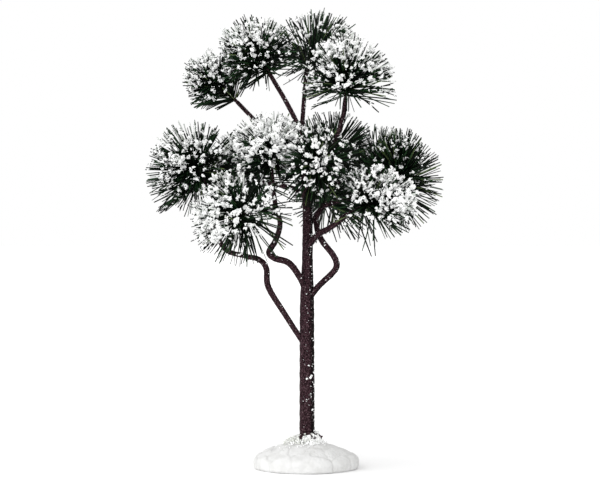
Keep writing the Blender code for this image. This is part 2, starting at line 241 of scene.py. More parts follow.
def mottle_group(detail: float = 3.0) -> bpy.types.NodeTree:
    """Build the shared mottle: a mask of soft patches.

    Args:
        detail: How many finer sizes of noise fray the patches.

    Returns:
        A shader node group with a Mask output.
    """
    wiring = start_group("mottle", {"Scale": 100.0, "From": 0.4, "To": 0.6}, "Mask")
    given = wiring.add("NodeGroupInput").outputs
    noise_inputs = {"Vector": given["Vector"], "Scale": given["Scale"], "Detail": detail}
    cloud = wiring.out("ShaderNodeTexNoise", noise_inputs)
    limits = {"Value": cloud, "From Min": given["From"], "From Max": given["To"]}
    mask = wiring.out("ShaderNodeMapRange", limits, interpolation_type="SMOOTHSTEP")
    wiring.add("NodeGroupOutput", {"Mask": mask})
    return wiring.tree


def grain_group(
    detail: float = 4.0, roughness: float = 0.65, fineness: float = 2.7, pits: float = 0.3
) -> bpy.types.NodeTree:
    """Build the shared grain: the height of a fine, crisp roughness.

    Args:
        detail: How many finer sizes of noise go into it.
        roughness: How strongly they show.
        fineness: How much finer than the grain its pits are.
        pits: How deep they are beside it.

    Returns:
        A shader node group with a Height output.
    """
    wiring = start_group("grain", {"Scale": 1000.0}, "Height")
    given = wiring.add("NodeGroupInput").outputs
    vector, scale = given["Vector"], given["Scale"]
    noise_inputs = {"Vector": vector, "Scale": scale, "Detail": detail, "Roughness": roughness}
    coarse = wiring.out("ShaderNodeTexNoise", noise_inputs)
    fine_scale = wiring.math("MULTIPLY", scale, fineness)
    fine = wiring.out("ShaderNodeTexVoronoi", {"Vector": vector, "Scale": fine_scale})
    height = wiring.math("ADD", coarse, wiring.math("MULTIPLY", fine, pits))
    wiring.add("NodeGroupOutput", {"Height": height})
    return wiring.tree


MOTTLE = mottle_group()
GRAIN = grain_group()


@dataclass(frozen=True)
class Mottle:
    """Soft patches: how many there are in a metre, and the noise at which they start and are full."""

    scale: float
    low: float
    high: float


class Surface(Wiring):
    """A material under construction, with its shader and its object coordinates."""

    def __init__(self, name: str) -> None:
        """Start a material.

        Args:
            name: The material's name.
        """
        self.material = bpy.data.materials.new(name)
        self.material.use_nodes = True
        super().__init__(self.material.node_tree)
        self.shader = self.tree.nodes["Principled BSDF"]
        self.place = self.out("ShaderNodeTexCoord", output="Object")

    def mottle(self, patches: Mottle) -> bpy.types.NodeSocket:
        """A mask of soft patches."""
        limits = {"Scale": patches.scale, "From": patches.low, "To": patches.high}
        return self.out("ShaderNodeGroup", {"Vector": self.place, **limits}, node_tree=MOTTLE)

    def grain(self, scale: float) -> bpy.types.NodeSocket:
        """The height of a fine grain, with a scale in grains per metre."""
        return self.out("ShaderNodeGroup", {"Vector": self.place, "Scale": scale}, node_tree=GRAIN)

    def mix(self, share: bpy.types.NodeSocket, first: object, second: object) -> bpy.types.NodeSocket:
        """Mix two colours.

        Args:
            share: The socket that tells how much of the second one shows.
            first: A colour, or a socket with one.
            second: Another.

        Returns:
            The socket with the mixed colour.
        """
        colours = [(*value, 1.0) if isinstance(value, tuple) else value for value in (first, second)]
        inputs = {"Factor": share, "A": colours[0], "B": colours[1]}
        return self.out("ShaderNodeMix", inputs, "Result", data_type="RGBA")

    def spread(self, mask: bpy.types.NodeSocket, low: float, high: float) -> bpy.types.NodeSocket:
        """Turn a mask into a value between two ends."""
        return self.out("ShaderNodeMapRange", {"Value": mask, "To Min": low, "To Max": high})

    def wire(self, **sockets: object) -> None:
        """Set or wire the shader's inputs.

        Args:
            **sockets: Values or sockets by input name, with underscores for spaces.
        """
        for name, value in sockets.items():
            target = self.shader.inputs[name.replace("_", " ")]
            if isinstance(value, bpy.types.NodeSocket):
                self.tree.links.new(value, target)
            else:
                target.default_value = value

    def bump(self, height: bpy.types.NodeSocket, depth: float) -> None:
        """Raise the surface by a height that runs from 0 to 1.

        Args:
            height: The height's socket.
            depth: The height of 1, in metres.
        """
        self.wire(Normal=self.out("ShaderNodeBump", {"Height": height, "Distance": depth}))


@dataclass(frozen=True)
class MottledFinish:
    """A dull finish with soft patches of a second tone and a fine grain."""

    name: str
    tone: Colour
    patch_tone: Colour
    patches: Mottle
    roughness: Span  # outside the patches and in them
    grain_scale: float  # grains per metre
    grain_depth: float
    specular: float = 0.5

    def paint(self, surface: Surface, mask: bpy.types.NodeSocket) -> bpy.types.NodeSocket:
        """The colour, with the patches where the mask is."""
        return surface.mix(mask, self.tone, self.patch_tone)

    def build(self) -> bpy.types.Material:
        """Make the material.

        Returns:
            The material.
        """
        surface = Surface(self.name)
        mask = surface.mottle(self.patches)
        surface.wire(
            Base_Color=self.paint(surface, mask),
            Roughness=surface.spread(mask, *self.roughness),
            Specular_IOR_Level=self.specular,
        )
        surface.bump(surface.grain(self.grain_scale), self.grain_depth)
        return surface.material


@dataclass(frozen=True)
class PlasterSnow(MottledFinish):
    """Cast plaster painted white, with painted shade greying its creases, and a little chalky."""

    name: str = "plaster_snow"
    tone: Colour = (0.71, 0.71, 0.705)
    patch_tone: Colour = (0.64, 0.64, 0.63)
    patches: Mottle = Mottle(180.0, 0.35, 0.7)
    roughness: Span = (0.72, 0.9)
    grain_scale: float = 1500.0
    grain_depth: float = 0.09 * MM
    # painted shade: the grey that the creases are darkened to
    crease_shade_tone: Colour = (0.61, 0.61, 0.60)

    def paint(self, surface: Surface, mask: bpy.types.NodeSocket) -> bpy.types.NodeSocket:
        """The colour, greyed with painted shade in the creases by the mesh's own "crease" attribute,
        from 0 to 1.
        """
        crease = surface.out("ShaderNodeAttribute", output="Fac", attribute_name="crease")
        return surface.mix(crease, super().paint(surface, mask), self.crease_shade_tone)


@dataclass(frozen=True)
class FlockedSnow(MottledFinish):
    """Crumbs of flocking: bright, dull and finely pitted."""

    name: str = "flocked_snow"
    tone: Colour = (0.97, 0.975, 0.97)
    patch_tone: Colour = (0.86, 0.87, 0.86)
    patches: Mottle = Mottle(700.0, 0.42, 0.72)
    roughness: Span = (0.7, 0.95)
    grain_scale: float = 3200.0
    grain_depth: float = 0.10 * MM


@dataclass(frozen=True)
class NeedlePlastic(MottledFinish):
    """A strip of thin plastic foil in one green, uneven in tone, with a faint gloss."""

    patches: Mottle = Mottle(260.0, 0.38, 0.66)
    roughness: Span = (0.47, 0.67)
    grain_scale: float = 1800.0
    grain_depth: float = 0.02 * MM
    specular: float = 0.10


@dataclass(frozen=True)
class WoundBark:
    """Crepe tape and thread wound round wire: dark maroon brown, with paler worn thread."""

    name: str = "wound_bark"
    dark: Colour = (0.006, 0.0022, 0.003)
    brown: Colour = (0.060, 0.029, 0.037)
    thread: Colour = (0.34, 0.235, 0.255)
    # painted shade: the near-black tone of the limbs' side that faces away from the key light
    painted_shade_tone: Colour = (0.0030, 0.0014, 0.0018)
    patches: Mottle = Mottle(1900.0, 0.42, 0.60)  # of brown
    flecks: Mottle = Mottle(1500.0, 0.59, 0.68)  # of worn thread
    thread_pitch: float = 0.62 * MM
    thread_depth: float = 0.10 * MM
    ridge: Span = (-0.5, 0.5)  # the thread's height between its turns and on them
    wear: Span = (0.35, 1.0)  # how worn the flecks are there
    roughness: Span = (0.62, 0.88)
    specular: float = 0.05
    grain_scale: float = 2600.0

    def build(self) -> bpy.types.Material:
        """Make the material, with its thread along the limbs' own map.

        Returns:
            The material. The mesh's own attribute "shelter", from 0 to 1, paints shade on it.
        """
        surface = Surface(self.name)
        wound = surface.out("ShaderNodeUVMap", uv_map=WOUND_UV)
        split = surface.add("ShaderNodeSeparateXYZ", {"Vector": wound})
        turns = surface.math("MULTIPLY", split.outputs["Y"], WOUND_LENGTH / self.thread_pitch)
        phase = surface.math("MULTIPLY", surface.math("ADD", turns, split.outputs["X"]), math.tau)
        ridge = surface.spread(surface.math("SINE", phase), *self.ridge)
        flecks = surface.mottle(self.flecks)
        worn = surface.math("MULTIPLY", flecks, surface.spread(ridge, *self.wear))
        # painted shade: the shelter attribute darkens the tape on the limb's side away from the light
        shelter = surface.out("ShaderNodeAttribute", output="Fac", attribute_name="shelter")
        tape = surface.mix(surface.mottle(self.patches), self.dark, self.brown)
        surface.wire(
            Base_Color=surface.mix(worn, surface.mix(shelter, tape, self.painted_shade_tone), self.thread),
            Roughness=surface.spread(flecks, *self.roughness),
            Specular_IOR_Level=self.specular,
        )
        height = surface.math("ADD", ridge, surface.grain(self.grain_scale))
        surface.bump(height, self.thread_depth)
        return surface.material


@dataclass(frozen=True)
class StudioFloor:
    """A plain pale floor."""

    name: str = "studio_floor"
    white: Colour = (0.98, 0.98, 0.98)

    def build(self) -> bpy.types.Material:
        """Make the material.

        Returns:
            The material.
        """
        surface = Surface(self.name)
        surface.wire(Base_Color=(*self.white, 1.0), Roughness=1.0, Specular_IOR_Level=0.0)
        return surface.material


@dataclass(frozen=True)
class Finishes:
    """Every material of the tree, made once."""

    plaster: bpy.types.Material
    snow: bpy.types.Material
    grit: bpy.types.Material
    bark: bpy.types.Material
    needle_deep: bpy.types.Material
    needle_green: bpy.types.Material
    needle_young: bpy.types.Material
    needle_frosted: bpy.types.Material

    @classmethod
    def build(cls) -> Finishes:
        """Make them all.

        Returns:
            The tree's materials.
        """
        finishes = {
            "plaster": PlasterSnow(),
            "snow": FlockedSnow(),
            "grit": FlockedSnow("gritty_snow", (0.84, 0.85, 0.81), (0.56, 0.58, 0.53)),
            "bark": WoundBark(),
            "needle_deep": NeedlePlastic("needle_deep", (0.002, 0.004, 0.002), (0.005, 0.010, 0.005)),
            "needle_green": NeedlePlastic("needle_green", (0.009, 0.027, 0.010), (0.022, 0.060, 0.022)),
            "needle_young": NeedlePlastic("needle_young", (0.070, 0.110, 0.035), (0.140, 0.190, 0.080)),
            "needle_frosted": NeedlePlastic(
                "needle_frosted",
                (0.56, 0.60, 0.56),
                (0.84, 0.86, 0.83),
                roughness=(0.77, 0.97),
                specular=0.2,
            ),
        }
        return cls(**{name: finish.build() for name, finish in finishes.items()})


# ---------------------------------------------------------------------------------------------------
# Meshes


def place_object(
    name: str, mesh: bpy.types.Mesh, materials: Sequence[bpy.types.Material] = ()
) -> bpy.types.Object:
    """Put a mesh into the scene, at the origin and untransformed.

    Args:
        name: The object's and the mesh's name.
        mesh: The mesh, with its place in its vertices.
        materials: Its materials.

    Returns:
        The new object.
    """
    mesh.name = name
    for material in materials:
        mesh.materials.append(material)
    obj = bpy.data.objects.new(name, mesh)
    bpy.context.scene.collection.objects.link(obj)
    return obj


def add_attributes(mesh: bpy.types.Mesh, **attributes: Sequence) -> None:
    """Give a mesh's points their attributes.

    Args:
        mesh: The mesh.
        **attributes: For each name a list of numbers or of vectors, one for each point.
    """
    for name, values in attributes.items():
        array = np.array(values, np.float32)
        vectors = array.ndim == 2
        layer = mesh.attributes.new(name, "FLOAT_VECTOR" if vectors else "FLOAT", "POINT")
        layer.data.foreach_set("vector" if vectors else "value", array.ravel())


def lined_object(
    name: str, places: Iterable[Vector], edges: list[tuple[int, int]], **attributes: Sequence
) -> bpy.types.Object:
    """Make an object of points and edges that carry attributes, for a rule to work on.

    Args:
        name: The object's name.
        places: The points.
        edges: The pairs of points that are joined.
        **attributes: For each name a list of numbers or of vectors, one for each point.

    Returns:
        The new object.
    """
    mesh = bpy.data.meshes.new(name)
    mesh.from_pydata([tuple(place) for place in places], edges, [])
    add_attributes(mesh, **attributes)
    return place_object(name, mesh)


def closed_faces(steps: int, sides: int) -> list[tuple[int, ...]]:
    """The faces of a closed shape of rings: bands between them, then a fan at each end.

    Args:
        steps: How many rings there are. The two poles come after them.
        sides: How many points each ring has.

    Returns:
        The faces, which point outwards where the rings run anticlockwise as seen from the second pole.
    """
    faces = []
    for i in range(steps - 1):
        for j in range(sides):
            k = (j + 1) % sides
            faces.append((i * sides + j, i * sides + k, (i + 1) * sides + k, (i + 1) * sides + j))
    first_pole, last_pole, last = steps * sides, steps * sides + 1, (steps - 1) * sides
    for j in range(sides):
        k = (j + 1) % sides
        faces += [(first_pole, k, j), (last_pole, last + j, last + k)]
    return faces


def through_points(points: Sequence[Vector], step: float) -> list[tuple[Vector, float]]:
    """Spread points evenly on a smooth curve through the given ones.

    Args:
        points: The points that the curve passes through.
        step: The distance between the new points.

    Returns:
        Each new point with its place in the list that was given.
    """
    ends = [points[0] * 2 - points[1], *points, points[-1] * 2 - points[-2]]
    curve = []
    for k in range(len(points) - 1):
        a, b, c, d = ends[k : k + 4]
        parts = max(1, round((c - b).length / step))
        second, third = 2 * a - 5 * b + 4 * c - d, 3 * b - a - 3 * c + d
        for s in range(parts):
            t = s / parts
            curve.append((0.5 * (2 * b + (c - a) * t + second * t**2 + third * t**3), k + t))
    curve.append((points[-1].copy(), float(len(points) - 1)))
    return curve


@dataclass
class Line:
    """A middle line: its points and radii, and its directions, distances and untwisting sides there."""

    points: np.ndarray
    radii: np.ndarray
    aims: np.ndarray = field(init=False)
    sides: np.ndarray = field(init=False)
    along: np.ndarray = field(init=False)

    def __post_init__(self) -> None:
        """Work out the directions, the sides and the distances."""
        spans = np.gradient(self.points, axis=0)
        self.aims = spans / np.linalg.norm(spans, axis=1)[:, None]
        steps = np.linalg.norm(np.diff(self.points, axis=0), axis=1)
        self.along = np.concatenate([[0.0], np.cumsum(steps)])
        self.sides = np.empty_like(self.points)
        side = np.array(Vector(self.aims[0]).orthogonal().normalized())
        for i, aim in enumerate(self.aims):
            side = side - aim * side.dot(aim)
            side /= np.linalg.norm(side)
            self.sides[i] = side

    def surface(self, angles: np.ndarray, radii: np.ndarray) -> np.ndarray:
        """Points round the line.

        Args:
            angles: The angles of a ring's points.
            radii: The radius of each ring's each point.

        Returns:
            An array of rings of points.
        """
        across = np.cross(self.aims, self.sides)
        outward = (
            self.sides[:, None, :] * np.cos(angles)[None, :, None]
            + across[:, None, :] * np.sin(angles)[None, :, None]
        )
        return self.points[:, None, :] + outward * radii[:, :, None]


def wound_tube(
    name: str, line: Line, rings: np.ndarray, material: bpy.types.Material
) -> bpy.types.Object:
    """Close rings of points into a tube with domed ends and a map that runs round and along it.

    Args:
        name: The object's name.
        line: The tube's middle line.
        rings: Its rings of points.
        material: Its material.

    Returns:
        The new object.
    """
    count, sides, _ = rings.shape
    foot = line.points[0] - line.aims[0] * line.radii[0] * FOOT_DOME
    tip = line.points[-1] + line.aims[-1] * line.radii[-1] * TIP_DOME
    vertices = np.concatenate([rings.reshape(-1, 3), [foot, tip]])
    corners = []
    v = line.along / WOUND_LENGTH
    spans = [(j / sides, (j + 1) / sides) for j in range(sides)]
    for i in range(count - 1):
        for left, right in spans:
            corners += [(left, v[i]), (right, v[i]), (right, v[i + 1]), (left, v[i + 1])]
    for left, right in spans:
        corners += [(left, v[0]), (right, v[0]), (left, v[0])]
        corners += [(left, v[-1]), (left, v[-1]), (right, v[-1])]
    mesh = bpy.data.meshes.new(name)
    mesh.from_pydata(vertices.tolist(), [], closed_faces(count, sides))
    layer = mesh.uv_layers.new(name=WOUND_UV)
    layer.data.foreach_set("uv", np.array(corners, np.float32).ravel())
    mesh.shade_smooth()
    return place_object(name, mesh, (material,))


# ---------------------------------------------------------------------------------------------------
# Limbs


@dataclass(frozen=True)
class Limb:
    """A limb along a smooth route through a few points, with its widths from foot to tip."""

    name: str
    route: tuple[Place, ...]
    widths: tuple[float, ...]
    nodes: tuple[str, ...] = ()

    def line(self, step: float) -> Line:
        """The limb's middle line.

        Args:
            step: The distance between its points.

        Returns:
            The line, with its radii.
        """
        curve = through_points([Vector(p) * MM for p in self.route], step)
        last = len(self.route) - 1
        shares = np.array([place / last for _, place in curve])
        spots = np.linspace(0.0, 1.0, len(self.widths))
        radii = np.interp(shares, spots, self.widths) * MM / 2
        return Line(np.array([tuple(point) for point, _ in curve]), radii)

    def replaced(self) -> tuple[str, ...]:
        """The solids that the limb stands for."""
        return self.nodes or (f"bough_{self.name}",)


TRUNK = Limb(
    "trunk",
    (
        (0.5, 0, 5.3),
        (0.5, 0, 40),
        (0.5, 0, 80),
        (0.7, 0, 103),
        (0.7, 0, 130),
        (-0.8, 0, 154),
        (-2.7, 0, 171),
    ),
    (7.5, 7.5, 7.2, 5.5, 4.8, 4.3, 3.5),
    ("trunk",),
)

BOUGHS = (
    Limb(
        "low_left",
        (
            (0.5, 0, 59),
            (-3.1, -0.5, 65.3),
            (-12.5, -2, 80),
            (-18.9, -2, 90.8),
            (-19.8, -2, 99.8),
            (-23.4, -2, 104.2),
            (-30, -2, 106),
            (-40.5, 2, 109.5),
            (-47, 5.5, 123),
            (-50, 6, 140),
        ),
        (2.6, 3.1, 2.6, 2.2),
        ("bough_low_left_lower", "bough_low_left_outer"),
    ),
    Limb(
        "mid_left",
        (
            (0.5, 0, 87.5),
            (-3.4, -3, 96),
            (-8.6, -5, 102.6),
            (-15.6, -5, 105),
            (-18.3, -5, 108),
            (-15.2, -5, 113.8),
            (-12.9, -5, 122),
            (-15.2, -5, 131.5),
            (-17.2, -6.5, 148),
        ),
        (3.2, 3.3, 3.2, 2.6, 2.1),
        ("bough_mid_left_lower", "bough_mid_left_upper"),
    ),
    Limb(
        "low_right",
        (
            (0.5, 0, 83.5),
            (6, -1.4, 90.6),
            (13.2, -2, 97.6),
            (15.3, -2, 101.6),
            (13.6, -2, 106.4),
            (8.4, -1, 113),
            (5.6, 2.4, 119.5),
            (5.8, 5.6, 126.5),
            (13, 7, 132.6),
            (40.4, 5, 138),
        ),
        (3.0, 3.2, 2.9, 2.2),
        ("bough_low_right_lower", "bough_low_right_middle", "bough_low_right_outer"),
    ),
    Limb("front_left", ((-15, -5, 130), (-19.8, -10.5, 130.6), (-24.2, -15.5, 129.8)), (2.0, 1.9)),
    Limb(
        "front_right",
        ((0.7, 0, 105.5), (1.4, -4.4, 111.2), (6.4, -8, 117), (11.8, -10.4, 120), (22, -14.6, 127.6)),
        (3.2, 3.3, 3.0, 2.4),
    ),
    Limb("front_centre", ((0.5, 0, 135), (1.2, -4.6, 142), (3.4, -10.4, 147.6)), (2.4, 2.1)),
    Limb("back_centre", ((0.7, 0, 112), (1.2, 6.2, 120), (8.2, 12.4, 131)), (2.6, 2.2)),
    Limb("upper_left", ((-2.4, 0, 168), (-8.5, -1, 180.4), (-17.8, -2, 196.4)), (2.5, 2.2)),
    Limb("top", ((-2.3, 0.2, 168.5), (-1.5, 2.6, 177.5), (-0.8, 4.6, 187), (0.2, 7.6, 198)), (2.3, 2.1)),
    Limb("top_left", ((0.1, 0, 146), (-10.5, 5, 158.4), (-34.6, 11.8, 183.6)), (2.5, 2.1)),
    Limb(
        "upper_right",
        ((0.3, 0, 143.5), (8.6, -2.4, 152), (14.6, -3.6, 163), (18.4, -4, 175), (19.6, -6.8, 184.2)),
        (2.9, 2.8, 2.3),
    ),
    Limb("centre_right", ((0.4, 0, 140), (3.6, 5, 147), (7.8, 9.6, 152.6)), (2.4, 2.1)),
    Limb("back_left", ((0.5, 0, 134), (-6, 8, 140), (-21.6, 21.4, 143.4)), (2.4, 2.0)),
    Limb("back_right", ((0.6, 0, 131), (8.6, 8.4, 140), (28, 23.4, 145.8)), (2.4, 2.0)),
)


@dataclass
class WoundLimbs:
    """The trunk and the boughs: wires bundled together and wound with crepe tape."""

    trunk_step: float = 0.24 * MM
    bough_step: float = 0.28 * MM
    trunk_sides: int = 44
    bough_sides: int = 18
    wires_trunk: int = 7
    wires_bough: int = 3
    wire_relief: float = 0.022  # depth of the hollows between the wires, as a share of the radius
    wire_twist: float = 46.0 * MM  # length in which the wires turn once round
    tape_trunk: float = 3.4 * MM  # distance between the tape's turns
    tape_bough: float = 2.1 * MM
    tape_edge: float = 0.07 * MM  # height of its overlapped edge
    tape_lap: float = 0.86  # the share of a turn in which it rises to that edge
    tape_wander: float = 0.12  # how far its turns stray, in turns
    tape_wander_rate: float = 1.7
    crinkle: float = 0.042 * MM  # height of its crinkles
    crinkle_scale: float = 900.0  # crinkles per metre
    fine_crinkle_scale: float = 2100.0
    fine_crinkle: float = 0.6  # as a share of the others
    root_swell: float = 0.35 * MM  # how much thicker a bough is where it leaves the bundle
    root_length: float = 7.0 * MM
    # painted shade on the limbs: their right and lower sides, away from the key light, are darkened in
    # colour
    shaded_side_trunk: tuple[float, float, float] = (0.97, 0.0, -0.22)  # the side where shade is painted on the tape, away from the key light
    shaded_side_bough: tuple[float, float, float] = (0.72, 0.0, -0.69)
    shade_from: float = 0.28
    shade_blend: float = 0.35
    shade_fray: float = 0.10

    def relief(self, line: Line, angles: np.ndarray, is_trunk: bool) -> np.ndarray:
        """How far the surface stands out from the limb's plain radius.

        Args:
            line: The limb's middle line.
            angles: The angles of a ring's points.
            is_trunk: Whether the limb is the trunk.

        Returns:
            One distance for each ring's each point.
        """
        along = line.along[:, None]
        turn = angles[None, :]
        wires = self.wires_trunk if is_trunk else self.wires_bough
        pitch = self.tape_trunk if is_trunk else self.tape_bough
        bundle = np.cos(wires * (turn + math.tau * along / self.wire_twist))
        wander = self.tape_wander * np.sin(along / pitch * self.tape_wander_rate)
        wound = (along / pitch + turn / math.tau + wander) % 1.0
        lap = self.tape_lap
        tape = np.where(wound < lap, wound / lap, (1.0 - wound) / (1.0 - lap))
        out = line.radii[:, None] * self.wire_relief * bundle + self.tape_edge * (tape - 0.5)
        if not is_trunk:
            near = np.clip(1.0 - along / self.root_length, 0.0, 1.0)
            out = out + self.root_swell * near**2
        return out

    def make(self, limb: Limb, material: bpy.types.Material) -> bpy.types.Object:
        """Make one limb.

        Args:
            limb: The limb.
            material: Its finish.

        Returns:
            The limb's object.
        """
        is_trunk = limb is TRUNK
        line = limb.line(self.trunk_step if is_trunk else self.bough_step)
        sides = self.trunk_sides if is_trunk else self.bough_sides
        angles = np.arange(sides) * math.tau / sides
        radii = line.radii[:, None] + self.relief(line, angles, is_trunk)
        flat = [Vector(place) for place in line.surface(angles, radii).reshape(-1, 3)]
        rough = np.array([self.crinkles(place) for place in flat]).reshape(radii.shape)
        radii = radii + self.crinkle * rough
        rings = line.surface(angles, radii)
        piece = wound_tube(f"bark_{limb.name}", line, rings, material)
        outward = (rings - line.points[:, None, :]) / radii[:, :, None]
        # painted shade: 0 to 1 by how far each point faces right and down, away from the key light
        painted_shade = outward @ np.array(self.shaded_side_trunk if is_trunk else self.shaded_side_bough)
        painted_shade = np.clip((painted_shade - self.shade_from + self.shade_fray * rough) / self.shade_blend, 0.0, 1.0)
        add_attributes(piece.data, shelter=[*painted_shade.ravel().tolist(), 0.0, 0.0])
        return piece

    def crinkles(self, place: Vector) -> float:
        """How far the tape's crinkles stand out at a place, about -1 to 1."""
        fine = noise.noise(place * self.fine_crinkle_scale) * self.fine_crinkle
        return noise.noise(place * self.crinkle_scale) + fine

    def build(self, finishes: Finishes) -> list[bpy.types.Object]:
        """Make the trunk and every bough, in place of their solids.

        Args:
            finishes: The materials.

        Returns:
            The pieces.
        """
        pieces = []
        for limb in (TRUNK, *BOUGHS):
            piece = self.make(limb, finishes.bark)
            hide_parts(*limb.replaced())
            settle(piece)
            pieces.append(piece)
        return pieces


# ---------------------------------------------------------------------------------------------------
# Snow crumbs


@dataclass(frozen=True)
class Crumb:
    """One crumb of snow: where it sits, which way it is drawn out or pressed flat, and its size."""

    place: Vector
    axis: Vector
    size: float
    stretch: float = 1.0


class CrumbShape(Enum):
    """How finely a crumb is made: the subdivisions of its ball."""

    FLECK = 1
    CLUMP = 2


@dataclass
class CrumbRule:
    """The Geometry Nodes rule that puts an uneven crumb of snow at each point."""

    roughness: float = 0.9  # depth of the pits and horns, as a share of a crumb's size
    pit_scale: float = 1900.0  # pits per metre
    pit_detail: float = 2.0
    pit_gain: float = 4.0  # noise strays a quarter either way, and this makes it the whole depth
    girth: Span = (0.45, 0.95)
    width: Span = (0.75, 1.30)
    rule: GeometryRule = field(init=False)

    def __post_init__(self) -> None:
        """Build the tree."""
        rule = GeometryRule(
            "snow_crumbs",
            {
                "Subdivisions": ("NodeSocketInt", CrumbShape.CLUMP.value),
                "Roughness": ("NodeSocketFloat", self.roughness),
                "Pit Scale": ("NodeSocketFloat", self.pit_scale),
                "Seed": ("NodeSocketInt", SEED),
                "Snow": ("NodeSocketMaterial", None),
            },
        )
        fineness = {"Radius": 1.0, "Subdivisions": rule.given("Subdivisions")}
        ball = rule.out("GeometryNodeMeshIcoSphere", fineness, "Mesh")
        axis = rule.attribute("axis", "FLOAT_VECTOR")
        aim = rule.out("FunctionNodeAlignRotationToVector", {"Vector": axis}, axis="Z")
        angle = self.chance(rule, (0.0, math.tau), 1)
        spin = rule.out("FunctionNodeAxisAngleToRotation", {"Axis": (0.0, 0.0, 1.0), "Angle": angle})
        both = {"Rotation": aim, "Rotate By": spin}
        turned = rule.out("FunctionNodeRotateRotation", both, rotation_space="LOCAL")
        size = rule.attribute("size")
        girth = rule.math("MULTIPLY", size, self.chance(rule, self.girth, 2))
        width = rule.math("MULTIPLY", size, self.chance(rule, self.width, 3))
        height = rule.math("MULTIPLY", size, rule.attribute("stretch"))
        scale = rule.out("ShaderNodeCombineXYZ", {"X": girth, "Y": width, "Z": height})
        crumbs = rule.out(
            "GeometryNodeInstanceOnPoints",
            {"Points": rule.given("Geometry"), "Instance": ball, "Rotation": turned, "Scale": scale},
        )
        real = rule.out("GeometryNodeRealizeInstances", {"Geometry": crumbs})
        position, scale = rule.out("GeometryNodeInputPosition"), rule.given("Pit Scale")
        noise_inputs = {"Vector": position, "Scale": scale, "Detail": self.pit_detail}
        pits = rule.out("ShaderNodeTexNoise", noise_inputs)
        depth = rule.math("MULTIPLY", rule.math("SUBTRACT", pits, 0.5), rule.given("Roughness"))
        depth = rule.math("MULTIPLY", rule.math("MULTIPLY", depth, self.pit_gain), size)
        normal = rule.out("GeometryNodeInputNormal")
        offset = rule.out("ShaderNodeVectorMath", {0: normal, "Scale": depth}, operation="SCALE")
        pitted = rule.out("GeometryNodeSetPosition", {"Geometry": real, "Offset": offset})
        crisp = rule.out("GeometryNodeSetShadeSmooth", {"Geometry": pitted, "Shade Smooth": False})
        dressed = {"Geometry": crisp, "Material": rule.given("Snow")}
        rule.finish(rule.out("GeometryNodeSetMaterial", dressed))
        self.rule = rule

    @staticmethod
    def chance(rule: GeometryRule, span: Span, stream: int) -> bpy.types.NodeSocket:
        """A random value for each point.

        Args:
            rule: The tree.
            span: The least and the greatest value.
            stream: Which of the tree's independent draws this is.

        Returns:
            The value's socket.
        """
        seed = rule.math("ADD", rule.given("Seed"), float(stream))
        limits = {"Min": span[0], "Max": span[1], "Seed": seed}
        return rule.out("FunctionNodeRandomValue", limits, "Value", data_type="FLOAT")

    def make(
        self, name: str, crumbs: Sequence[Crumb], material: bpy.types.Material, shape: CrumbShape
    ) -> bpy.types.Object:
        """Make a piece of crumbs.

        Args:
            name: The piece's name.
            crumbs: The crumbs.
            material: Their finish.
            shape: How finely they are made.

        Returns:
            The piece, as one plain mesh.
        """
        obj = lined_object(
            name,
            [crumb.place for crumb in crumbs],
            [],
            axis=[tuple(crumb.axis) for crumb in crumbs],
            size=[crumb.size for crumb in crumbs],
            stretch=[crumb.stretch for crumb in crumbs],
        )
        self.rule.apply(obj, {"Subdivisions": shape.value, "Snow": material})
        return obj


def joined(name: str, objects: Sequence[bpy.types.Object]) -> bpy.types.Object:
    """Join plain meshes into the first of them.

    Args:
        name: The name of the whole.
        objects: At least one object, each at the origin.

    Returns:
        The joined object.
    """
    first, *rest = objects
    if rest:
        with bpy.context.temp_override(active_object=first, selected_editable_objects=list(objects)):
            bpy.ops.object.join()
    first.name = name
    first.data.name = name
    return first


def settle(piece: bpy.types.Object) -> None:
    """Drop a finished piece's helper attributes, and tell the frame what it rides on.

    Args:
        piece: The piece.
    """
    for name in HELPERS:
        layer = piece.data.attributes.get(name)
        if layer:
            piece.data.attributes.remove(layer)
    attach(piece, BODY)
    piece.data.calc_loop_triangles()
    log.info("%s: %d triangles", piece.name, len(piece.data.loop_triangles))


# ---------------------------------------------------------------------------------------------------
# Tufts of needles


@dataclass(frozen=True)
class Tuft:
    """A tuft of needles at a bough's tip: where its stem ends, and how its needles stand."""

    name: str
    tip: Place
    needle: float  # the length of its needles, in mm
    sweep: float  # the angle between its foremost and its rearmost needles, in degrees
    snow: float = 1.0  # how much snow it carries, as a share of the usual
    bare: float = 1.0  # how bare the needles stay that point down, as a share of the usual
    thin: float = 0.0  # how thinned out those needles are
    dense: float = 1.0  # how many needles it has, as a share of the usual


TUFTS = (
    Tuft("top_left", (-44, 9, 192), 21, 68, snow=1.12, dense=1.15),
    Tuft("upper_left", (-24.5, -8, 205.5), 23, 98, snow=1.18, thin=0.2, dense=1.15),
    Tuft("top", (7.5, 17, 210), 25, 92, snow=0.9, thin=0.3),
    Tuft("upper_right", (19.2, -13.5, 192.7), 26.5, 90, snow=1.4, thin=0.9),
    Tuft("low_left", (-56, -10.5, 150), 28, 106, snow=1.1, bare=0.1, dense=1.35),
    Tuft("front_left", (-34.5, -31, 124), 27, 98, snow=1.5, bare=0.5, thin=0.6),
    Tuft("mid_left", (-16.5, -17, 157.5), 24, 104, snow=1.75, bare=0.3, thin=0.6),
    Tuft("centre_right", (15, 20, 158), 25, 100, snow=0.55),
    Tuft("front_centre", (5, -27, 151), 25, 96, snow=1.03, bare=0.0),
    Tuft("front_right", (34, -27, 131.5), 25.5, 90, snow=1.35, bare=0.5, thin=0.9),
    Tuft("low_right", (46.5, -4, 148), 24.5, 105, snow=0.6, bare=0.3, thin=0.2, dense=1.3),
    Tuft("back_centre", (14.5, 24, 137), 25, 100, snow=1.25, bare=0.3, thin=0.4),
    Tuft("back_left", (-32, 33, 150), 25, 104, snow=1.6, bare=0.3, thin=0.3),
    Tuft("back_right", (40, 36, 153), 25, 104, snow=1.0, thin=0.3),
)


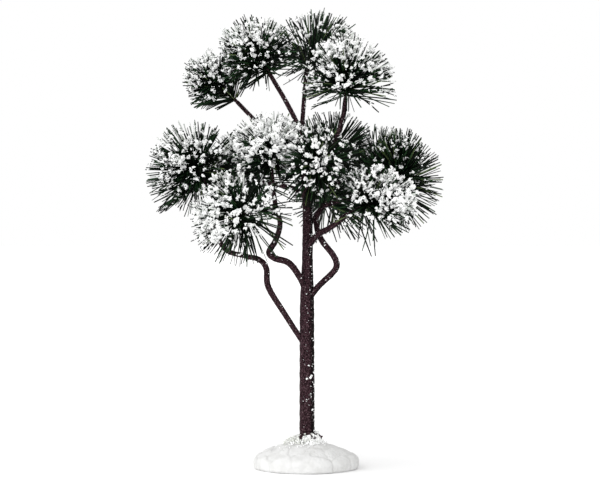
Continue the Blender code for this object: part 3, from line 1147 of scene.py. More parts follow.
@dataclass(frozen=True)
class Stem:
    """The curve of a tuft's stem: straight on from its bough's tip, then bending to the tuft's tip."""

    root: Vector
    knee: Vector
    tip: Vector

    def place(self, share: float) -> Vector:
        """The point at a share of the way along."""
        return self.root * (1 - share) ** 2 + self.knee * 2 * share * (1 - share) + self.tip * share**2

    def direction(self, share: float) -> Vector:
        """The unit direction at a share of the way along."""
        return ((self.knee - self.root) * (1 - share) + (self.tip - self.knee) * share).normalized()

    def distance(self, point: Vector) -> float:
        """Measure the distance to the straight stretch between the stem's ends.

        Args:
            point: Where it is measured from.

        Returns:
            The distance.
        """
        nearest, share = intersect_point_line(point, self.root, self.tip)
        if share <= 0:
            nearest = self.root
        elif share >= 1:
            nearest = self.tip
        return (point - nearest).length


class StemKind(Enum):
    """A stem's rings, its sides and its girth as a share of the main stem's."""

    MAIN = (60, 10, 1.0)
    SIDE = (12, 6, 0.5)


def turned(forward: Vector, lean: float, turn: float) -> Vector:
    """A direction that leans from another.

    Args:
        forward: The direction that it leans from.
        lean: The cosine of the angle between the two.
        turn: The angle round the first, in radians.

    Returns:
        The unit direction.
    """
    side = forward.orthogonal().normalized()
    outward = side * math.cos(turn) + forward.cross(side) * math.sin(turn)
    return forward * lean + outward * math.sqrt(1 - lean**2)


@dataclass
class TuftStems:
    """The tufts' stems: wires that run on from the boughs' tips, with short side twigs."""

    knee: float = 0.4  # how far a stem runs straight on before it turns to its tip
    bough_step: float = 4.2 * MM  # the last stretch of a bough, which a stem runs straight on from
    radius: float = 0.75 * MM
    root_girth: float = 1.25
    taper: float = 0.75  # how much thinner the tip is than that
    ridge: float = 0.14  # relief of the two twisted wires
    ridge_turn: float = 2600.0  # how far they turn in a metre, in radians
    foremost: float = 0.97  # the foremost needle's or twig's place along the stem
    twigs: int = 9
    twig_length: float = 5.5 * MM
    twig_lean: float = math.radians(72.0)
    twig_stretch: float = 0.45  # the share of the stem that they stand on
    twig_fade: float = 0.3  # how much shorter the rearmost one is

    def grow(self) -> dict[str, Stem]:
        """Grow every tuft's stem from its bough's tip.

        Returns:
            The stems, by their tufts' names.
        """
        found = {}
        lines = {limb.name: limb.line(self.bough_step) for limb in BOUGHS}
        for tuft in TUFTS:
            points = lines[tuft.name].points
            root = Vector(points[-1])
            onward = (root - Vector(points[-2])).normalized()
            tip = Vector(tuft.tip) * MM
            found[tuft.name] = Stem(root, root + onward * (tip - root).length * self.knee, tip)
        return found

    def grow_twigs(self, stem: Stem) -> list[Stem]:
        """Grow short straight twigs that stand out of a stem's front half.

        Args:
            stem: The stem.

        Returns:
            The twigs, the foremost one first.
        """
        found = []
        for j in range(self.twigs):
            spread = (j + 0.5) / self.twigs
            share = self.foremost - self.twig_stretch * spread
            lean = math.cos(self.twig_lean * spread**0.5)
            root, direction = stem.place(share), turned(stem.direction(share), lean, j * GOLDEN_ANGLE)
            length = self.twig_length * (1.0 - self.twig_fade * spread)
            found.append(Stem(root, root + direction * length / 2, root + direction * length))
        return found

    def make(self, name: str, stem: Stem, kind: StemKind, finishes: Finishes) -> bpy.types.Object:
        """Make a stem or a side twig, which carries its needles' roots.

        Args:
            name: The piece's name.
            stem: The stem.
            kind: Whether it is a tuft's main stem.
            finishes: The materials.

        Returns:
            The stem's object.
        """
        rings, sides, girth = kind.value
        shares = np.linspace(0.0, 1.0, rings)
        points = np.array([tuple(stem.place(share)) for share in shares])
        radii = self.radius * (self.root_girth - self.taper * shares) * girth
        line = Line(points, radii)
        angles = np.arange(sides) * math.tau / sides
        turns = angles[None, :] + line.along[:, None] * self.ridge_turn
        rough = 1.0 + self.ridge * np.cos(2 * turns)
        return wound_tube(name, line, line.surface(angles, radii[:, None] * rough), finishes.bark)


@dataclass(frozen=True)
class Needle:
    """One needle: a gently bent line from its root, and how much of the snow falls on it."""

    root: Vector
    direction: Vector
    bend: Vector
    length: float
    exposure: float

    def place(self, share: float) -> Vector:
        """The point at a share of the way along."""
        return self.root + self.direction * self.length * share + self.bend * self.length * share**2


class Tone(Enum):
    """The greens that the needles are dealt."""

    DEEP = 0
    GREEN = 1
    YOUNG = 2


@dataclass
class NeedleStrips:
    """The needles as strips of foil, made by a Geometry Nodes rule from lines of points."""

    width: float = 0.86 * MM
    flatness: float = 0.55  # thickness as a share of the width
    corners: int = 3
    frosted: float = 0.4  # the frost at which a stretch is white
    taper: tuple[float, ...] = (0.85, 1.0, 1.0, 1.0, 0.95, 0.75)  # girth at even steps from root to tip
    girth: Span = (0.8, 1.12)
    twist: float = 0.9  # the most that a strip turns along its length, in radians
    tones: tuple[float, ...] = (0.66, 0.31, 0.03)  # the share of each tone
    frost_start: float = 1.65  # where a bare needle's frost would start, as a share of its length
    frost_reach: float = 0.85  # how much nearer to the root it can start on a needle full of snow
    frost_full: float = 1.1  # the exposure past which it starts no nearer
    rule: GeometryRule = field(init=False)

    def __post_init__(self) -> None:
        """Build the tree."""
        finishes = ("Deep", "Green", "Young", "Frosted")
        rule = GeometryRule(
            "needle_strips",
            {
                "Width": ("NodeSocketFloat", self.width),
                "Flatness": ("NodeSocketFloat", self.flatness),
                **{name: ("NodeSocketMaterial", None) for name in finishes},
            },
        )
        curve = rule.out("GeometryNodeMeshToCurve", {"Mesh": rule.given("Geometry")})
        curve = rule.out("GeometryNodeSetCurveTilt", {"Curve": curve, "Tilt": rule.attribute("turn")})
        size = {"Resolution": self.corners, "Radius": rule.math("MULTIPLY", rule.given("Width"), 0.5)}
        circle = rule.out("GeometryNodeCurvePrimitiveCircle", size)
        squash = rule.out("ShaderNodeCombineXYZ", {"X": 1.0, "Y": rule.given("Flatness"), "Z": 1.0})
        profile = rule.out("GeometryNodeTransform", {"Geometry": circle, "Scale": squash})
        sweep = {"Curve": curve, "Profile Curve": profile, "Scale": rule.attribute("girth")}
        strips = rule.out("GeometryNodeCurveToMesh", {**sweep, "Fill Caps": True})
        strips = rule.out("GeometryNodeSetShadeSmooth", {"Geometry": strips, "Shade Smooth": False})
        strips = rule.out("GeometryNodeRealizeInstances", {"Geometry": strips})
        tone, frost = rule.attribute("tone"), rule.attribute("frost")
        choices = (
            ("Deep", None),
            ("Green", rule.math("GREATER_THAN", tone, Tone.GREEN.value - 0.5)),
            ("Young", rule.math("GREATER_THAN", tone, Tone.YOUNG.value - 0.5)),
            ("Frosted", rule.math("GREATER_THAN", frost, self.frosted)),
        )
        for name, chosen in choices:
            inputs = {"Geometry": strips, "Material": rule.given(name)}
            if chosen:
                inputs["Selection"] = chosen
            strips = rule.out("GeometryNodeSetMaterial", inputs)
        rule.finish(strips)
        self.rule = rule

    def make(
        self, name: str, needles: list[Needle], finishes: Finishes, chance: random.Random
    ) -> bpy.types.Object:
        """Make a tuft's needles.

        Args:
            name: The piece's name.
            needles: The needles.
            finishes: The materials.
            chance: The tuft's own random numbers.

        Returns:
            The piece, as one plain mesh.
        """
        places, edges = [], []
        girths, turns, tones, frosts = [], [], [], []
        for needle in needles:
            tone = chance.choices(list(Tone), self.tones)[0]
            girth = chance.uniform(*self.girth)
            turn, twist = chance.uniform(0.0, math.tau), chance.uniform(-self.twist, self.twist)
            full = min(self.frost_full, needle.exposure) ** 2
            frosted_from = self.frost_start - full * chance.uniform(0.0, self.frost_reach)
            for k, taper in enumerate(self.taper):
                share = k / (len(self.taper) - 1)
                if k:
                    edges.append((len(places) - 1, len(places)))
                places.append(needle.place(share))
                girths.append(girth * taper)
                turns.append(turn + twist * share)
                tones.append(float(tone.value))
                frosts.append(float(share >= frosted_from))
        obj = lined_object(name, places, edges, girth=girths, turn=turns, tone=tones, frost=frosts)
        dressed = {
            "Deep": finishes.needle_deep,
            "Green": finishes.needle_green,
            "Young": finishes.needle_young,
            "Frosted": finishes.needle_frosted,
        }
        self.rule.apply(obj, dressed)
        return obj


@dataclass
class TuftSnow:
    """The snow on a tuft: clusters of crumbs near the needles' ends, and flecks along them."""

    clusters: float = 0.66  # the share of fully exposed needles that carry one
    cluster_fall: float = 1.1  # how fast that share falls with the exposure, as a power
    back: float = 0.14  # how far from its needle's tip a cluster sits, as a share of the length
    farthest_back: float = 0.4
    fewest: int = 3  # crumbs in a cluster
    most: int = 5
    more: int = 4  # how many more an exposed needle's can have
    smallest: float = 0.36 * MM
    largest: float = 0.74 * MM
    least_growth: float = 0.7  # how the crumbs grow with the exposure
    growth: float = 0.4
    sizes: Span = (0.6, 1.1)  # of a cluster's crumbs, beside each other
    stretches: Span = (0.8, 1.7)
    step: float = 1.15  # the distance from one crumb to the next, as a share of its size
    trail: float = 0.45  # how much a cluster runs back along its needle
    fine: int = 2  # how many of a cluster's crumbs are finely made
    flecks: float = 2.5  # the most on a needle
    fleck_reach: float = 0.55  # how far back from the tip they lie, as a share of the length
    fleck_gather: float = 1.4  # over 1, they crowd towards the tip
    fleck_stray: float = 0.35 * MM
    fleck_size: Span = (0.18, 0.42)  # mm
    crumbs: CrumbRule = field(default_factory=CrumbRule)

    def cluster(self, needle: Needle, chance: random.Random) -> list[Crumb]:
        """A branching cluster of snow crumbs that clings to a needle's end.

        Args:
            needle: The needle.
            chance: The tuft's own random numbers.

        Returns:
            The crumbs, the first ones nearest to the needle's tip.
        """
        growth = self.least_growth + self.growth * needle.exposure
        size = chance.uniform(self.smallest, self.largest) * growth
        place = needle.place(1.0 - min(self.farthest_back, abs(chance.gauss(0.0, self.back))))
        found = []
        for _ in range(chance.randint(self.fewest, self.most + int(self.more * needle.exposure))):
            aim = Vector(chance.gauss(0.0, 1.0) for _ in range(3)).normalized()
            own = size * chance.uniform(*self.sizes)
            found.append(Crumb(place, aim, own, chance.uniform(*self.stretches)))
            place = place + (aim - needle.direction * self.trail) * size * self.step
        return found

    def make(
        self, name: str, needles: list[Needle], finishes: Finishes, chance: random.Random
    ) -> bpy.types.Object:
        """Make the snow on a tuft.

        Args:
            name: The piece's name.
            needles: The needles.
            finishes: The materials.
            chance: The tuft's own random numbers.

        Returns:
            The piece, as one plain mesh.
        """
        clumps, flecks = [], []
        for needle in needles:
            if chance.random() < self.clusters * needle.exposure**self.cluster_fall:
                cluster = self.cluster(needle, chance)
                clumps += cluster[: self.fine]
                flecks += cluster[self.fine :]
            for _ in range(int(needle.exposure * chance.uniform(0.0, self.flecks))):
                share = 1.0 - self.fleck_reach * chance.random() ** self.fleck_gather
                stray = Vector(chance.gauss(0.0, 1.0) for _ in range(3)) * self.fleck_stray
                size = chance.uniform(*self.fleck_size) * MM
                flecks.append(Crumb(needle.place(share) + stray, needle.direction, size))
        fine = self.crumbs.make(name, clumps, finishes.snow, CrumbShape.CLUMP)
        plain = self.crumbs.make(f"{name}_flecks", flecks, finishes.snow, CrumbShape.FLECK)
        return joined(name, [fine, plain])


@dataclass
class NeedleTufts:
    """The tufts: needles by the hundred round a slim stem, with snow by which way they face."""

    count: int = 400
    rearmost: float = 0.16  # the rearmost needle's place along the stem
    foremost_lean: float = math.radians(8.0)
    gather: float = 1.7  # over 1, the needles crowd towards the front
    lean_stray: float = 0.10
    turn_stray: float = 0.6  # radians
    thinned_below: float = -0.15  # the rise of a needle below which it can be thinned out
    longest: float = 1.04  # a needle's greatest length, as a share of its tuft's
    length_stray: float = 0.10  # how much shorter it can be
    shortest: float = 0.42  # a needle with room for less than this share is left out
    patch: float = 2.4  # patches of shorter needles and of more or less snow, for each radius
    patch_shift: float = 50.0  # how far apart the tufts' own patterns are taken
    uneven: float = 0.30  # how much shorter the needles of a patch can be
    patchy: float = 0.5  # how much the snow varies from patch to patch
    tests: int = 12  # places along a needle where its room is tested
    first_test: int = 2
    sharing: float = 0.82  # how far into a neighbour's space a needle may reach
    limb_room: float = 0.35 * MM
    bend: float = 0.045
    sag: float = 0.018
    trim: float = 0.02  # the steps in which a needle is cut back to its solid's box
    trim_least: float = 0.3
    twig_share: float = 0.72  # how many of the needles that a side twig points with grow from it
    twig_reach: float = 0.7  # the cosine of the widest angle between the two
    twig_roots: Span = (0.1, 1.0)  # where along the twig they are rooted
    snow_from_above: float = 0.6  # how much the sky counts beside the way that a tuft faces
    snow_least: float = 0.42  # how much snow a needle catches that stands square to where it comes from
    shelter: float = 0.75  # how much less a needle catches the more it points down
    sheltered_below: float = -0.1
    stems: TuftStems = field(default_factory=TuftStems)
    strips: NeedleStrips = field(default_factory=NeedleStrips)
    snow: TuftSnow = field(default_factory=TuftSnow)
    limbs: BVHTree = field(init=False)

    def __post_init__(self) -> None:
        """Build the search tree over the solids that needles keep clear of."""
        builder = bmesh.new()
        for name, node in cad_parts.items():
            if not name.startswith("tuft_"):
                builder.from_mesh(node.data)
        self.limbs = BVHTree.FromBMesh(builder)
        builder.free()

    def room(
        self, start: Vector, direction: Vector, wanted: float, stem: Stem, others: list[Stem]
    ) -> float:
        """How long a needle can be before it reaches a neighbour's space or a limb.

        Args:
            start: The needle's root.
            direction: Its direction.
            wanted: Its full length.
            stem: Its own stem.
            others: The other tufts' stems.

        Returns:
            The length, or 0 where it would touch a limb.
        """
        step = wanted / self.tests
        for k in range(self.first_test, self.tests + 1):
            point = start + direction * step * k
            if self.limbs.find_nearest(point, self.limb_room + step / 2)[0] is not None:
                return 0.0
            own = stem.distance(point) * self.sharing
            if any(own > other.distance(point) for other in others):
                return step * (k - 1)
        return wanted

    def exposure(self, tuft: Tuft, stem: Stem, direction: Vector) -> float:
        """How much snow a needle catches, by which way it and its tuft face.

        Args:
            tuft: The tuft.
            stem: Its stem.
            direction: The needle's direction.

        Returns:
            The needle's share of the tuft's snow.
        """
        front = (stem.tip - stem.root).normalized() + Vector((0.0, 0.0, self.snow_from_above))
        caught = self.snow_least + (1.0 - self.snow_least) * direction.dot(front.normalized())
        caught -= self.shelter * tuft.bare * max(0.0, self.sheltered_below - direction.z)
        return max(0.0, min(1.0, caught)) * tuft.snow

    def grow(
        self, tuft: Tuft, stems: dict[str, Stem], twigs: list[Stem], chance: random.Random
    ) -> list[Needle]:
        """Grow a tuft's needles by the rule of its solid, only more and finer.

        Args:
            tuft: The tuft.
            stems: Every tuft's stem.
            twigs: The tuft's own side twigs.
            chance: The tuft's own random numbers.

        Returns:
            The needles.
        """
        stem = stems[tuft.name]
        others = [other for name, other in stems.items() if name != tuft.name]
        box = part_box(f"tuft_{tuft.name}")
        foremost, rearmost = math.cos(self.foremost_lean), math.cos(math.radians(tuft.sweep))
        needles = []
        count = round(self.count * tuft.dense)
        far = self.patch_shift
        short, snowy = (Vector(chance.uniform(-far, far) for _ in range(3)) for _ in range(2))
        for i in range(count):
            spread = (i + 0.5) / count
            share = self.stems.foremost + (self.rearmost - self.stems.foremost) * spread
            centre, forward = stem.place(share), stem.direction(share)
            lean = foremost + (rearmost - foremost) * spread**self.gather
            lean = max(-1.0, min(1.0, lean + chance.uniform(-self.lean_stray, self.lean_stray)))
            turn = i * GOLDEN_ANGLE + chance.uniform(-self.turn_stray, self.turn_stray)
            direction = turned(forward, lean, turn)
            if chance.random() < tuft.thin * max(0.0, self.thinned_below - direction.z):
                continue
            fall = self.uneven * max(0.0, noise.noise(direction * self.patch + short))
            wanted = tuft.needle * MM * (self.longest - chance.uniform(0.0, self.length_stray) - fall)
            load = 1.0 + self.patchy * noise.noise(direction * self.patch + snowy)
            twig = max(twigs, key=lambda twig: twig.direction(0.0).dot(direction))
            near = twig.direction(0.0).dot(direction) > self.twig_reach
            if near and chance.random() < self.twig_share:
                tip, centre = centre + direction * wanted, twig.place(chance.uniform(*self.twig_roots))
                wanted, direction = (tip - centre).length, (tip - centre).normalized()
            crook = Vector(chance.gauss(0.0, 1.0) for _ in range(3)) * self.bend
            crook.z -= self.sag
            length = self.room(centre, direction, wanted, stem, others)
            if length < wanted * self.shortest:
                continue
            crook -= direction * crook.dot(direction)
            exposure = self.exposure(tuft, stem, direction) * load
            needle = Needle(centre, direction, crook, length, exposure)
            needles.append(replace(needle, length=length * self.share_inside(needle, *box)))
        return needles

    def share_inside(self, needle: Needle, low: Vector, high: Vector) -> float:
        """Cut a needle back until it stays inside a box.

        Args:
            needle: The needle.
            low: The box's lower corner.
            high: Its upper corner.

        Returns:
            The share of its length that stays.
        """
        share = 1.0
        while share > self.trim_least:
            point = needle.place(share)
            if all(low[k] <= point[k] <= high[k] for k in range(3)):
                return share
            share -= self.trim
        return share

    def build(self, finishes: Finishes) -> list[bpy.types.Object]:
        """Make every tuft, in place of its solid.

        Args:
            finishes: The materials.

        Returns:
            The pieces.
        """
        stems = self.stems.grow()
        pieces, wires = [], []
        for tuft in TUFTS:
            chance = random.Random(f"{SEED} {tuft.name}")
            twigs = self.stems.grow_twigs(stems[tuft.name])
            needles = self.grow(tuft, stems, twigs, chance)
            strips = self.strips.make(f"needles_{tuft.name}", needles, finishes, chance)
            snow = self.snow.make(f"snow_{tuft.name}", needles, finishes, chance)
            for piece in (strips, snow):
                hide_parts(f"tuft_{tuft.name}")
            settle(strips)
            settle(snow)
            pieces += [strips, snow]
            name = f"twig_{tuft.name}"
            wires.append(self.stems.make(name, stems[tuft.name], StemKind.MAIN, finishes))
            wires += [self.stems.make(name, twig, StemKind.SIDE, finishes) for twig in twigs]
        whole = joined("twigs", wires)
        settle(whole)
        return [*pieces, whole]


# ---------------------------------------------------------------------------------------------------
# The mound and its collar


MOUND_OUTLINE = (  # radius and height of its outer side, from the underside up, in mm
    (25.0, 0.0),
    (25.9, 0.8),
    (26.0, 3.6),
    (25.4, 5.4),
    (23.9, 6.9),
    (20.4, 8.8),
    (15.0, 11.4),
    (10.4, 12.9),
    (4.35, 13.6),
)


def mound_height(radius: float) -> float:
    """The height of the mound's smooth top at a radius."""
    radii, heights = np.array(MOUND_OUTLINE[::-1]).T * MM
    return float(np.interp(radius, radii, heights))


@dataclass
class CastMound:
    """The cast mound: uneven slabs under snow, the lower ones standing a little further out."""

    sides: int = 380
    steps: int = 96
    outline_step: float = 0.5 * MM
    rim: Span = (25.35, 0.12)  # where its rounded foot passes: radius and height in mm
    swell: float = 0.009  # how far the outline strays from round, as a share of the radius
    swell_waves: tuple[Place, ...] = ((1.0, 3, 0.6), (0.7, 5, 2.1))  # share, waves round it, phase
    smooth_inside: float = 13.0 * MM  # it is round up to this radius
    fade: float = 9.0 * MM
    crease_depth: float = 0.15 * MM
    crease_width: float = 0.9 * MM
    crease_patch: float = 75.0  # stretches per metre in which a crease shows or is filled with snow
    crease_shift: float = 7.0
    crease_shown: float = 0.45
    crease_contrast: float = 2.2
    ledge: float = 1.15 * MM  # how far neighbouring slabs stand in front of each other
    ledge_rest: float = 0.4  # the ledge share that lies on the plain surface
    pillow: float = 0.40 * MM
    pillow_reach: float = 6.5 * MM
    blend: float = 0.60 * MM  # width of the step from one slab to the next
    warp: float = 2.8 * MM  # how far the slabs' edges wander
    warp_scale: float = 85.0
    fray: float = 1.3 * MM  # how far they fray on top of that
    fray_scale: float = 380.0
    shifts: tuple[Place, ...] = ((3.1, 0.4, 8.2), (9.7, 5.3, 1.6), (6.5, 2.8, 4.9))
    lump: float = 0.18 * MM  # the snow's own unevenness
    lump_scale: float = 300.0
    grains: tuple[Span, ...] = ((0.18, 900.0), (0.11, 1900.0))  # height in mm, number per metre
    grain_least: float = 0.6  # how much of the grain shows on the far left, in the middle and at most
    grain_middle: float = 0.75
    grain_most: float = 1.1
    grain_slope: float = 30.0 * MM
    foot_fade: float = 1.2 * MM  # the height over which the relief starts at the foot
    heap_edge: float = 6.0 * MM  # there is none inside this radius, under the granules
    heap_fade: float = 5.0 * MM
    front: float = -90.0  # the angle of the front, in degrees
    slabs: tuple[Place, ...] = (  # angle from the front, height in mm, ledge share
        (-62, 3.6, 0.5),
        (-27, 3.0, 0.8),
        (-6, 6.2, 0.4),
        (15, 3.4, 0.9),
        (44, 4.0, 0.4),
        (70, 3.2, 0.6),
        (-44, 9.4, -0.2),
        (-16, 11.4, -0.3),
        (16, 10.2, -0.1),
        (42, 9.4, 0.1),
        (68, 8.8, 0.2),
        (30, 12.4, -0.4),
        (95, 3.3, 0.3),
        (88, 8.4, -0.2),
        (124, 2.9, 0.8),
        (118, 8.6, 0.0),
        (151, 4.2, 0.4),
        (150, 9.0, -0.3),
        (178, 3.0, 0.9),
        (186, 8.8, 0.1),
        (205, 3.2, 0.4),
        (219, 8.2, -0.2),
        (232, 3.0, 0.8),
        (250, 8.8, 0.2),
        (259, 3.4, 0.3),
        (283, 2.9, 0.7),
        (285, 8.4, -0.1),
        (96, 12.2, -0.4),
        (166, 12.3, -0.5),
        (238, 12.2, -0.3),
        (298, 12.3, -0.5),
    )

    def outline(self) -> np.ndarray:
        """Spread points evenly on the outline.

        Returns:
            Each point's radius and height, from the underside's rim to the middle.
        """
        corners = [Vector((radius, height, 0.0)) * MM for radius, height in MOUND_OUTLINE[1:]]
        smooth = [(point.x, point.y) for point, _ in through_points(corners, self.outline_step)]
        foot = [(radius * MM, height * MM) for radius, height in (MOUND_OUTLINE[0], self.rim)]
        points = np.array([*foot, *smooth])
        lengths = np.concatenate([[0.0], np.cumsum(np.linalg.norm(np.diff(points, axis=0), axis=1))])
        spots = np.linspace(0.0, lengths[-1], self.steps)
        return np.stack([np.interp(spots, lengths, points[:, k]) for k in range(2)], axis=1)

    def base(self, outline: np.ndarray, angles: np.ndarray) -> np.ndarray:
        """Turn the outline round into the plain surface, with the slow swell of its reach.

        Args:
            outline: The outline's radii and heights.
            angles: The angles of a ring's points.

        Returns:
            An array of rings of points.
        """
        radius = outline[:, 0][:, None]
        strength = np.clip((radius - self.smooth_inside) / self.fade, 0.0, 1.0)
        swell = sum(share * np.sin(waves * angles + phase) for share, waves, phase in self.swell_waves)
        reach = radius * (1 + self.swell * strength * swell[None, :])
        height = np.broadcast_to(outline[:, 1][:, None], reach.shape)
        return np.stack([reach * np.cos(angles), reach * np.sin(angles), height], axis=2)

    def slab_places(self) -> tuple[np.ndarray, np.ndarray]:
        """Find the slabs' middles on the plain surface.

        Returns:
            Each slab's middle, and each one's ledge share.
        """
        outline = self.outline()
        places, ledges = [], []
        for angle, height, ledge in self.slabs:
            radius = float(np.interp(height * MM, outline[:, 1], outline[:, 0]))
            turn = math.radians(angle + self.front)
            places.append((radius * math.cos(turn), radius * math.sin(turn), height * MM))
            ledges.append(ledge)
        return np.array(places), np.array(ledges)

    def relief(self, surface: np.ndarray) -> tuple[np.ndarray, np.ndarray]:
        """The slabs' relief.

        Args:
            surface: Rings of points of the plain surface.

        Returns:
            How far each point stands out, and how deep in a crease it is, from 0 to 1.
        """
        places, ledges = self.slab_places()
        flat = surface.reshape(-1, 3)
        spots = [Vector(p) for p in flat]
        warp = np.array([self.drift(spot * self.warp_scale) for spot in spots]) * self.warp
        fray = np.array([self.drift(spot * self.fray_scale) for spot in spots]) * self.fray
        apart = np.linalg.norm((flat + warp + fray)[:, None, :] - places[None], axis=2)
        near = np.sort(apart, axis=1)[:, :2]
        weights = np.exp(-(apart - near[:, :1]) / self.blend)
        step = (weights * ledges).sum(axis=1) / weights.sum(axis=1)
        shift = Vector((self.crease_shift, 0.0, 0.0))
        bare = np.array([noise.noise(spot * self.crease_patch + shift) for spot in spots])
        bare = np.clip(self.crease_shown + self.crease_contrast * bare, 0.0, 1.0)
        crease = np.exp(-(((near[:, 1] - near[:, 0]) / self.crease_width) ** 2)) * bare
        pillow = np.clip(1.0 - (near[:, 0] / self.pillow_reach) ** 2, 0.0, 1.0)
        rough = np.array([self.roughness(spot) for spot in spots])
        out = self.ledge * step + self.pillow * pillow - self.crease_depth * crease + rough
        shape = surface.shape[:2]
        return out.reshape(shape), crease.reshape(shape)

    def drift(self, spot: Vector) -> Place:
        """A vector that wanders from place to place."""
        return tuple(noise.noise(spot + Vector(shift)) for shift in self.shifts)

    def roughness(self, spot: Vector) -> float:
        """Lift a place by the snow's own unevenness, which is coarser on the mound's right.

        Args:
            spot: The place.

        Returns:
            How far it is lifted.
        """
        side = min(self.grain_most, self.grain_middle + spot.x / self.grain_slope)
        grain = sum(height * noise.noise(spot * scale) for height, scale in self.grains)
        lumps = self.lump * noise.noise(spot * self.lump_scale)
        return lumps + max(self.grain_least, side) * grain * MM

    def build(self, finishes: Finishes) -> list[bpy.types.Object]:
        """Make the mound, in place of its solid.

        Args:
            finishes: The materials.

        Returns:
            The piece, in a list.
        """
        outline = self.outline()
        angles = np.arange(self.sides) * math.tau / self.sides
        surface = self.base(outline, angles)
        out, crease = self.relief(surface)
        _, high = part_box("snow_mound")
        spans = np.gradient(outline, axis=0)
        spans /= np.linalg.norm(spans, axis=1)[:, None]
        normals = np.stack([spans[:, 1], -spans[:, 0]], axis=1)
        strength = np.clip(surface[:, :, 2] / self.foot_fade, 0.0, 1.0)
        inward = np.clip((outline[:, 0] - self.heap_edge) / self.heap_fade, 0.0, 1.0)[:, None]
        out = (out - self.ledge * self.ledge_rest) * strength * inward
        outward = np.stack([np.cos(angles), np.sin(angles)], axis=1)
        surface[:, :, :2] += (normals[:, 0][:, None] * out)[:, :, None] * outward[None]
        surface[:, :, 2] += normals[:, 1][:, None] * out
        surface[:, :, 2] = np.clip(surface[:, :, 2], 0.0, high.z)
        return [self.close(surface, crease * strength * inward, finishes)]

    def close(self, surface: np.ndarray, crease: np.ndarray, finishes: Finishes) -> bpy.types.Object:
        """Close the rings into a mesh with a flat underside.

        Args:
            surface: The rings of points, from the underside's rim up.
            crease: How deep in a crease each point is.
            finishes: The materials.

        Returns:
            The mound's object.
        """
        steps, sides, _ = surface.shape
        top_height = float(surface[-1, :, 2].mean())
        vertices = [*surface.reshape(-1, 3).tolist(), (0.0, 0.0, 0.0), (0.0, 0.0, top_height)]
        mesh = bpy.data.meshes.new("cast_mound")
        mesh.from_pydata(vertices, [], closed_faces(steps, sides))
        # the crease attribute paints shade into the plaster's creases
        add_attributes(mesh, crease=[*crease.ravel().tolist(), 0.0, 0.0])
        mesh.shade_smooth()
        piece = place_object("cast_mound", mesh, (finishes.plaster,))
        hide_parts("snow_mound")
        settle(piece)
        return piece


def on_mound(angle: float, radius: float, rise: float = 0.0) -> Vector:
    """Find a place over the mound's smooth top.

    Args:
        angle: Its angle round the trunk's foot, in radians.
        radius: Its distance from the trunk's middle.
        rise: Its height over the mound.

    Returns:
        The place.
    """
    foot = TRUNK.route[0][0] * MM
    place = Vector((foot + radius * math.cos(angle), radius * math.sin(angle), 0.0))
    place.z = mound_height(place.length) + rise
    return place


